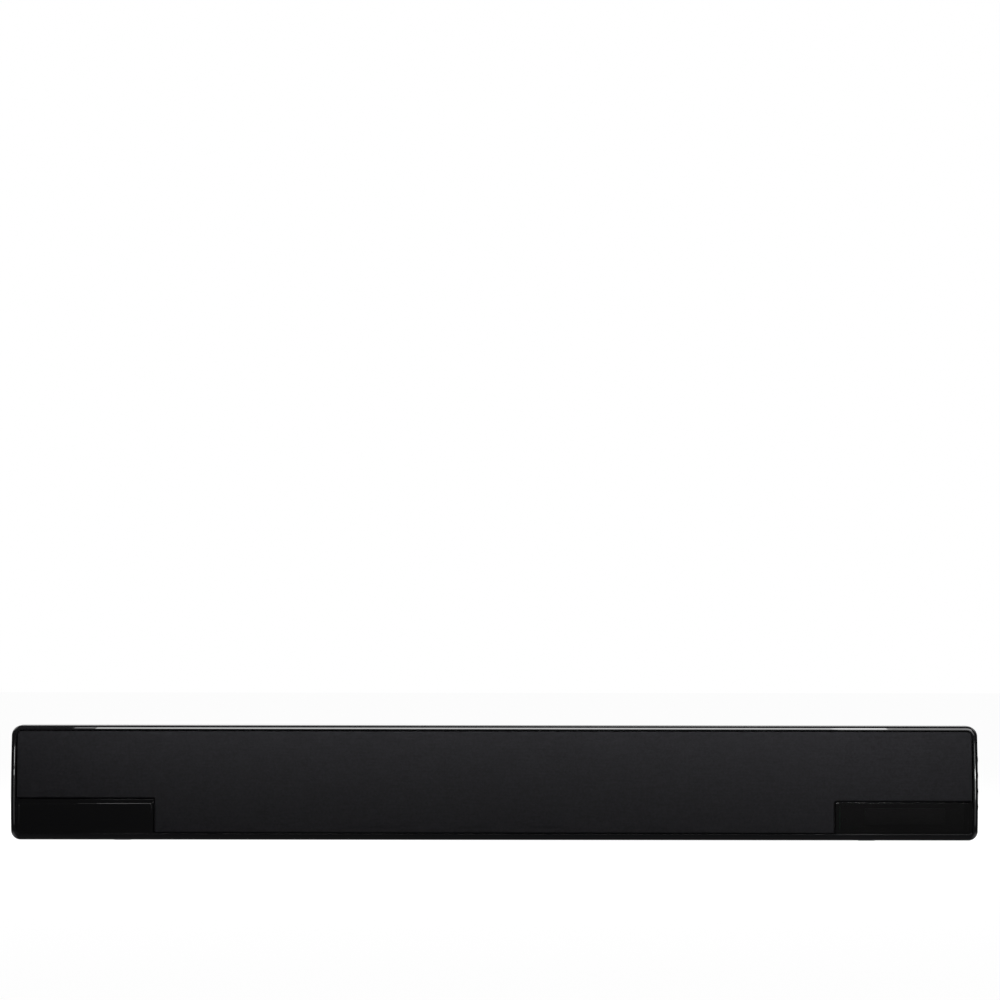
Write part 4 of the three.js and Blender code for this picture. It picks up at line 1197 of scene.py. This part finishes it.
for i, x in enumerate(WOOFER_X, 1):
    woofer(i, x)
for side, x in zip(("left", "right"), TWEETER_X):
    at = (x, BAFFLE_Y, TWEETER_Z)
    tb = [(0, 1.1), (11.6, 1.1), (11.7, 0.7), (11.7, -0.8), (12.3, -1.5), (14.5, -2.7), (17.0, -2.95), (23.0, -3.0), (23.7, -2.8), (24.0, -2.3), (24.0, -0.6), (23.7, -0.35), (15.0, -0.35), (15.0, 15.4), (14.6, 16.0), (0, 16.0)]
    piece(f"tweeter_{side}_faceplate", lathe(tb, 80, at=at), INNER, replaces=f"tweeter_{side}_body")
    td = [(0, -3.3)] + [(9.0 * math.sin(a), 0.2 - 3.5 * math.cos(a)) for a in np.linspace(0.15, math.pi / 2, 12)]
    td += [(9.3, 0.1), (9.6, -0.35), (10.2, -0.6), (10.9, -0.45), (11.2, -0.1), (11.2, 0.6), (0, 0.6)]
    piece(f"tweeter_{side}_silk_dome", lathe(td, 64, at=at), SILK, replaces=f"tweeter_{side}_dome")
    heads = Raw()
    for k in range(3):
        a = 2 * math.pi / 3 * k + math.pi / 2
        heads.add(lathe([(0, -2.95), (1.3, -2.95), (1.3, -3.6), (1.0, -3.95), (0.35, -4.0), (0.3, -3.7), (0, -3.65)], 20, at=(at[0] + 20 * math.cos(a), at[1], at[2] + 20 * math.sin(a))))
    piece(f"tweeter_{side}_screws", heads, SCREW_STEEL)

# ------------------------------------------------------------------ electronics
rnd = random.Random(11)


def can_z(x, y, z0, r, h):
    """An electrolytic capacitor: a sleeve with a groove near its foot and a slightly dished top."""
    raw = lathe([(0, 0), (r * 0.94, 0), (r, 0.4), (r, 1.2), (r * 0.93, 1.7), (r, 2.2), (r, h - 0.7), (r * 0.93, h - 0.1), (r * 0.8, h), (0, h - 0.15)], 36)
    return raw.mapped(lambda X, Y, Z: (X + x, Z + y, Y + z0))


board = rbox(-43.9, 131.9, -23.9, 35.3, 43.02, 44.58, 0.15, 1)
piece("amplifier_pcb", board, BOARD_G, replaces="amplifier_board")
small, chips, joints_, cans, coils, headers = Raw(), Raw(), Raw(), Raw(), Raw(), Raw()
for k in range(46):
    x, y = rnd.uniform(-40, 64), rnd.uniform(-21, 20)
    w, d, h = rnd.choice(((1.6, 0.8, 0.6), (2.0, 1.25, 0.7), (3.2, 1.6, 0.9)))
    if rnd.random() < 0.5:
        w, d = d, w
    small.add(rbox(x, x + w, y, y + d, 44.6, 44.6 + h, 0.1, 1))
for x, y, w, d in ((-28, -14, 14, 14), (6, -12, 10, 7), (24, 2, 9, 9), (48, -16, 12, 8)):
    chips.add(rbox(x, x + w, y, y + d, 44.9, 46.4, 0.25, 2))
    for k in range(int(w / 1.27)):
        for yy in (y - 1.0, y + d):
            joints_.add(rbox(x + 0.5 + k * 1.27, x + 1.0 + k * 1.27, yy, yy + 1.0, 44.6, 45.1, 0.08, 1))
for x, y, r, h in ((-38, 14, 4, 12), (-6, 14, 5, 16), (8, 16, 4, 12), (20, 16, 3.2, 11), (46, 8, 5, 18), (60, 10, 5, 18), (54, -6, 4, 12), (34, -17, 3.2, 11)):
    cans.add(can_z(x, y, 44.6, r, h))
for x, y in ((60, -17), (36, 12)):
    coils.add(rbox(x - 5, x + 5, y - 5, y + 5, 44.6, 52, 1.0, 3))
for x, y, w in ((104, 16, 12), (84, 17, 9), (-16, -20, 10)):
    headers.add(rbox(x, x + w, y, y + 5, 44.6, 50.5, 0.4, 2))
piece("amp_small_parts", small, CREAM)
piece("amp_chips", chips, CHIP)
piece("amp_chip_legs", joints_, NICKEL)
piece("amp_capacitors", cans, BLUE_P)
piece("amp_coils", coils, CHIP)
piece("amp_headers", headers, CREAM)

piece("power_pcb", rbox(-131.9, -50.1, -23.9, 35.3, 43.02, 44.58, 0.15, 1), BOARD_T, replaces="power_board")
core = Raw().add(rbox(-126, -92, -9, 9, 45.0, 50.5, 0.5, 2), rbox(-126, -92, -9, 9, 71.5, 77, 0.5, 2), rbox(-126, -121, -9, 9, 50.5, 71.5, 0.3, 1), rbox(-97, -92, -9, 9, 50.5, 71.5, 0.3, 1))
piece("transformer_ferrite_core", core, FERRITE, replaces="transformer")
wind = prism([(-120.6, -14.6), (-97.4, -14.6), (-97.4, 14.6), (-120.6, 14.6)], 4.0, [(0.4, 50.7), (0.0, 51.1), (0.0, 70.9), (0.4, 71.3)], 8).mapped(lambda X, Y, Z: (X, Z, Y))
piece("transformer_winding", wind, YELLOW_TAPE)
flange = Raw()
for z in (50.6, 70.9):
    flange.add(prism([(-121, -15), (-97, -15), (-97, 15), (-121, 15)], 2.0, [(0.0, z), (0.0, z + 0.5)], 6).mapped(lambda X, Y, Z: (X, Z, Y)))
piece("reservoir_can", can_z(-68, -8, 45.0, 9.0, 31.0), BLACK_WIRE, replaces="reservoir_capacitor")
extra = Raw()
for x, y, w, d, h in ((-84, 12, 15, 7, 12), (-62, 6, 8, 8, 11), (-128, 22, 12, 6, 9)):
    extra.add(rbox(x, x + w, y, y + d, 44.6, 44.6 + h, 0.6, 2))
piece("power_film_capacitors", extra, YELLOW_TAPE)
bits = Raw()
for k in range(22):
    x, y = rnd.uniform(-90, -54), rnd.uniform(-22, -19)
    bits.add(rbox(x, x + 2.0, y, y + 1.2, 44.6, 45.3, 0.1, 1))
bits.add(rbox(-88, -78, -16, -6, 44.6, 47, 0.4, 2), rbox(-112, -98, 18, 24, 44.6, 54, 0.4, 2))
piece("power_small_parts", bits, CHIP)

sink = rbox(70.1, 125.9, -19.9, 9.9, 45.05, 49.0, 0.3, 2)
fins = Raw()
for i in range(14):
    x = 70.6 + i * 4.15
    fins.add(rbox(x, x + 1.3, -19.9, 9.9, 48.5, 76.0 - (0.0 if i % 2 else 2.0), 0.35, 2))
piece("finned_heat_sink", None, ALU, replaces="heat_sink", mesh=carve("finned_heat_sink", sink, joins=[fins], sharp=34))

bb = Raw().add(rbox(496.65, 498.15, -23.9, -4.1, 24.1, 97.9, 0.12, 1))
piece("button_pcb", bb, BOARD_G, replaces="button_board")
sw, pl, st = Raw(), Raw(), Raw()
for z in BUTTON_Z:
    sw.add(rbox(498.2, 500.3, BUTTON_Y - 3, BUTTON_Y + 3, z - 3, z + 3, 0.3, 2))
    pl.add(lathe([(0, 500.2), (1.7, 500.2), (1.7, 501.35), (1.5, 501.6), (0, 501.6)], 24, axis="X", at=(0, BUTTON_Y, z)))
for z in (30, 92):
    st.add(lathe([(0, 494.1), (2, 494.1), (2, 496.6), (0, 496.6)], 24, axis="X", at=(0, -20, z)))
piece("tact_switches", sw, NICKEL)
piece("switch_plungers", pl, CHIP)
piece("button_board_standoffs", st, INNER)

# ------------------------------------------------------------------ wiring
right_path = smooth_path([(110, 20, 47), (122, 22, 52), (140, 23, 55), (200, 22, 56), (248, 19, 58), (262, 6, 61), (262.5, -10, 61.6)], 10)
left_path = smooth_path([(-36, 10, 47), (-44, 17, 60), (-60, 24, 67), (-110, 26, 67), (-140, 24, 62), (-200, 22, 58), (-248, 19, 59), (-262, 6, 61), (-262.5, -10, 61.6)], 10)
disp_path = smooth_path([(90, 22, 47), (97, 26, 58), (110, 29, 66), (140, 29, 66), (230, 30, 62), (320, 28, 48), (380, 22, 34), (420, 4, 26), (432, -16, 25), (432, -40.4, 25)], 10)
for side, path in (("left", left_path), ("right", right_path)):
    fine = dense(path, 1.5)
    piece(f"speaker_pair_{side}_red", tube(fine, 0.62, 12, 0.42, 0.63, 0.0), RED_WIRE, replaces=f"speaker_lead_{side}", sharp=60)
    piece(f"speaker_pair_{side}_black", tube(fine, 0.62, 12, 0.42, 0.63, math.pi), BLACK_WIRE, sharp=60)
piece("display_cable", tube(dense(disp_path, 3.0), 1.5, 16), GREY_WIRE, replaces="display_lead", sharp=60)

# ------------------------------------------------------------------ stage, light, camera
world = bpy.data.worlds.new("studio")
bpy.context.scene.world = world
world.use_nodes = True
nt = world.node_tree
nt.nodes.clear()
out = nt.nodes.new("ShaderNodeOutputWorld")
paper_bg = nt.nodes.new("ShaderNodeBackground")
paper_bg.inputs["Color"].default_value = (1.0, 1.0, 1.0, 1.0)
paper_bg.inputs["Strength"].default_value = 1.0
room = nt.nodes.new("ShaderNodeBackground")
co = nt.nodes.new("ShaderNodeTexCoord")
sep = nt.nodes.new("ShaderNodeSeparateXYZ")
nt.links.new(co.outputs["Generated"], sep.inputs[0])
height = nt.nodes.new("ShaderNodeMath")
height.operation = "ABSOLUTE"
nt.links.new(sep.outputs[2], height.inputs[0])
level = nt.nodes.new("ShaderNodeMath")
level.operation = "MULTIPLY_ADD"
nt.links.new(height.outputs[0], level.inputs[0])
level.inputs[1].default_value = 0.050
level.inputs[2].default_value = 0.031
behind = nt.nodes.new("ShaderNodeMapRange")
nt.links.new(sep.outputs[1], behind.inputs["Value"])
behind.inputs["From Min"].default_value = -0.25
behind.inputs["From Max"].default_value = 0.15
behind.inputs["To Min"].default_value = 1.0
behind.inputs["To Max"].default_value = 0.40
both = nt.nodes.new("ShaderNodeMath")
both.operation = "MULTIPLY"
nt.links.new(level.outputs[0], both.inputs[0])
nt.links.new(behind.outputs["Result"], both.inputs[1])


def world_math(op, a, b, c=0.0):
    n = nt.nodes.new("ShaderNodeMath")
    n.operation = op
    for sock, v in zip(n.inputs, (a, b, c)):
        if hasattr(v, "is_linked"):
            nt.links.new(v, sock)
        else:
            sock.default_value = v
    return n.outputs[0]


# light thrown back by a pale floor towards the ends and the back
aside = world_math("MAXIMUM", world_math("ABSOLUTE", sep.outputs[0], 0.0), sep.outputs[1])
bounce = world_math("MULTIPLY", world_math("SMOOTH_MIN", world_math("MAXIMUM", world_math("MULTIPLY_ADD", sep.outputs[2], -2.2, -0.10), 0.0), 1.0, 0.1), world_math("MINIMUM", world_math("MAXIMUM", world_math("MULTIPLY_ADD", aside, 2.4, -0.9), 0.0), 1.0))
nt.links.new(world_math("MULTIPLY_ADD", bounce, 0.55, both.outputs[0]), room.inputs["Strength"])
room.inputs["Color"].default_value = (0.96, 0.97, 1.0, 1.0)
path_n = nt.nodes.new("ShaderNodeLightPath")
mixer = nt.nodes.new("ShaderNodeMixShader")
nt.links.new(path_n.outputs["Is Camera Ray"], mixer.inputs[0])
nt.links.new(room.outputs[0], mixer.inputs[1])
nt.links.new(paper_bg.outputs[0], mixer.inputs[2])
nt.links.new(mixer.outputs[0], out.inputs["Surface"])

floor_me = bpy.data.meshes.new("studio_floor")
floor_me.from_pydata([(-14, -14, 0), (14, -14, 0), (14, 14, 0), (-14, 14, 0)], [], [(0, 1, 2, 3)])
floor = bpy.data.objects.new("studio_floor", floor_me)
bpy.context.scene.collection.objects.link(floor)
fm = bpy.data.materials.new("pale_floor")
fm.use_nodes = True
fb = fm.node_tree.nodes["Principled BSDF"]
fb.inputs["Base Color"].default_value = (0.22, 0.22, 0.22, 1)
fb.inputs["Roughness"].default_value = 0.9
fb.inputs["Specular IOR Level"].default_value = 0.0
fb.inputs["Emission Color"].default_value = (1, 1, 1, 1)
fb.inputs["Emission Strength"].default_value = 0.965
floor_me.materials.append(fm)
floor.visible_glossy = False
floor.visible_diffuse = False


def area(name, at, towards, size_x, size_y, radiance, spin=0.0):
    """A softbox of an even radiance. size_x runs level, size_y up the box."""
    d = bpy.data.lights.new(name, "AREA")
    d.shape = "RECTANGLE"
    d.size, d.size_y = size_x, size_y
    d.energy = radiance * math.pi * size_x * size_y
    o = bpy.data.objects.new(name, d)
    bpy.context.scene.collection.objects.link(o)
    o.location = at
    z = (Vector(at) - Vector(towards)).normalized()
    x = Vector((0, 0, 1)).cross(z)
    x = x.normalized() if x.length > 1e-6 else Vector((1, 0, 0))
    y = z.cross(x)
    o.rotation_mode = "QUATERNION"
    o.rotation_quaternion = Matrix((x, y, z)).transposed().to_quaternion()
    o.visible_camera = False
    return o


xm = SX * MM
NEAR = 0.130  # how far the overhead strip is from the top front edge
RISE = math.radians(36)
left_end, right_end = -0.432, 0.425
strip_at = (xm + (left_end + right_end) / 2, -0.05 - NEAR * math.cos(RISE), 0.122 + NEAR * math.sin(RISE))
area("overhead_strip", strip_at, (strip_at[0], -0.05, 0.122), right_end - left_end, 0.088, 6.0)
area("overhead_strip_end", (xm + left_end - 0.012, strip_at[1] + 0.006, strip_at[2] + 0.006), (xm + left_end - 0.012, -0.05, 0.122), 0.022, 0.05, 3.0)
for side, a, b, k in (("left", -0.62, left_end, 4.2), ("right", right_end, 0.66, 4.4)):
    fill = area(f"{side}_fill", (xm + (a + b) / 2, strip_at[1], strip_at[2]), (xm + (a + b) / 2, -0.05, 0.122), b - a, 0.088, k)
    fill.visible_glossy = False
area("right_front_card", (xm + 0.55, -0.05 - 0.30, 0.180), (xm + 0.55, -0.05, 0.180), 0.34, 0.096, 1.35)
area("right_upper_front_card", (xm + 0.55, -0.05 - 0.28, 0.330), (xm + 0.55, -0.05, 0.118), 0.34, 0.170, 3.7)


def side_card(name, side, azimuth, z0, z1, width, radiance, reach=0.5):
    """A card whose mirror image runs down the rounded edge of one end between two heights, as the camera sees it."""
    a = math.radians(azimuth)
    zc = (z0 + z1) / 2 - 0.0115
    at = (xm + side * (0.512 + reach * math.sin(a)), -0.05 - reach * math.cos(a), zc)
    area(name, at, (xm + side * 0.512, -0.05, zc), width, z1 - z0, radiance)


side_card("left_upper_card", -1, 28, 0.082, 0.105, 0.115, 6.0)
side_card("left_spot_card", -1, 28.5, 0.0712, 0.0778, 0.11, 9.5)
side_card("left_lower_card", -1, 30, 0.010, 0.0700, 0.15, 0.75)
side_card("right_upper_card", 1, 35, 0.086, 0.112, 0.14, 2.0)
side_card("right_middle_card", 1, 43, 0.043, 0.086, 0.17, 3.8)
side_card("right_spot_card", 1, 42, 0.069, 0.0785, 0.16, 11.0, 0.49)
side_card("right_lower_card", 1, 40, 0.008, 0.042, 0.15, 0.8)
area("rear_softbox", (xm, 1.15, 0.85), (xm, 0.05, 0.06), 2.6, 0.8, 4.2)
area("top_softbox", (xm, 1.4, 1.9), (xm, 0.0, 0.1), 2.4, 0.6, 1.0)
area("left_side_softbox", (xm - 1.7, 0.5, 1.3), (xm - 0.5, 0, 0.06), 1.0, 0.9, 2.6)
area("right_side_softbox", (xm + 1.7, 0.5, 1.3), (xm + 0.5, 0, 0.06), 1.0, 0.9, 2.6)

# the gloss parts see the big softboxes behind a net, so they keep their shape against the pale room
gloss_parts = bpy.data.collections.new("gloss_parts")
other_parts = bpy.data.collections.new("other_parts")
for o in bpy.context.scene.objects:
    if o.type == "MESH" and o.name in ("bezel_frame", "end_cap_left", "end_cap_right"):
        gloss_parts.objects.link(o)
        other_parts.objects.link(o)
for item in other_parts.collection_objects:
    item.light_linking.link_state = "EXCLUDE"
for o in list(bpy.context.scene.objects):
    if o.type == "LIGHT" and o.name in ("rear_softbox", "left_side_softbox", "right_side_softbox"):
        o.light_linking.receiver_collection = other_parts
netted = [area("rear_net", (xm, 1.15, 0.85), (xm, 0.05, 0.06), 2.6, 0.8, 1.25)]
netted += [area(f"{side}_net", (xm + k * 1.7, 0.5, 1.3), (xm + k * 0.5, 0, 0.06), 1.0, 0.9, 1.1) for side, k in (("left", -1), ("right", 1))]
for o in netted:
    o.light_linking.receiver_collection = gloss_parts

# the cards close in front light the front only, as a flag between them and the case would have it
behind_flag = bpy.data.collections.new("behind_flag")
for o in bpy.context.scene.objects:
    if o.type == "MESH" and (o.name in ("rear_case", "end_cap_left", "end_cap_right")):
        behind_flag.objects.link(o)
for item in behind_flag.collection_objects:
    item.light_linking.link_state = "EXCLUDE"
for o in bpy.context.scene.objects:
    if o.type == "LIGHT" and ("card" in o.name or "strip" in o.name):
        o.light_linking.receiver_collection = behind_flag

# the camera: a long lens straight on, the bar low in the frame as it hangs under the screen
DIST = 7.0
cam_d = bpy.data.cameras.new("camera")
cam_d.sensor_width = 36.0
cam_d.lens = 36.0 * DIST / (1000 * 1.0588 * MM)
cam_d.clip_start, cam_d.clip_end = 0.1, 60
cam = bpy.data.objects.new("camera", cam_d)
bpy.context.scene.collection.objects.link(cam)
target = Vector((xm + 0.00550, -0.05, 0.36094))
cam.location = (xm + 0.00550, -0.05 - DIST, 0.235)
cam.rotation_mode = "QUATERNION"
cam.rotation_quaternion = (target - cam.location).to_track_quat("-Z", "Y") @ Quaternion((0, 0, 1), math.radians(0.068))
bpy.context.scene.camera = cam
bpy.context.scene.view_settings.view_transform = "Standard"
bpy.context.scene.view_settings.look = "None"
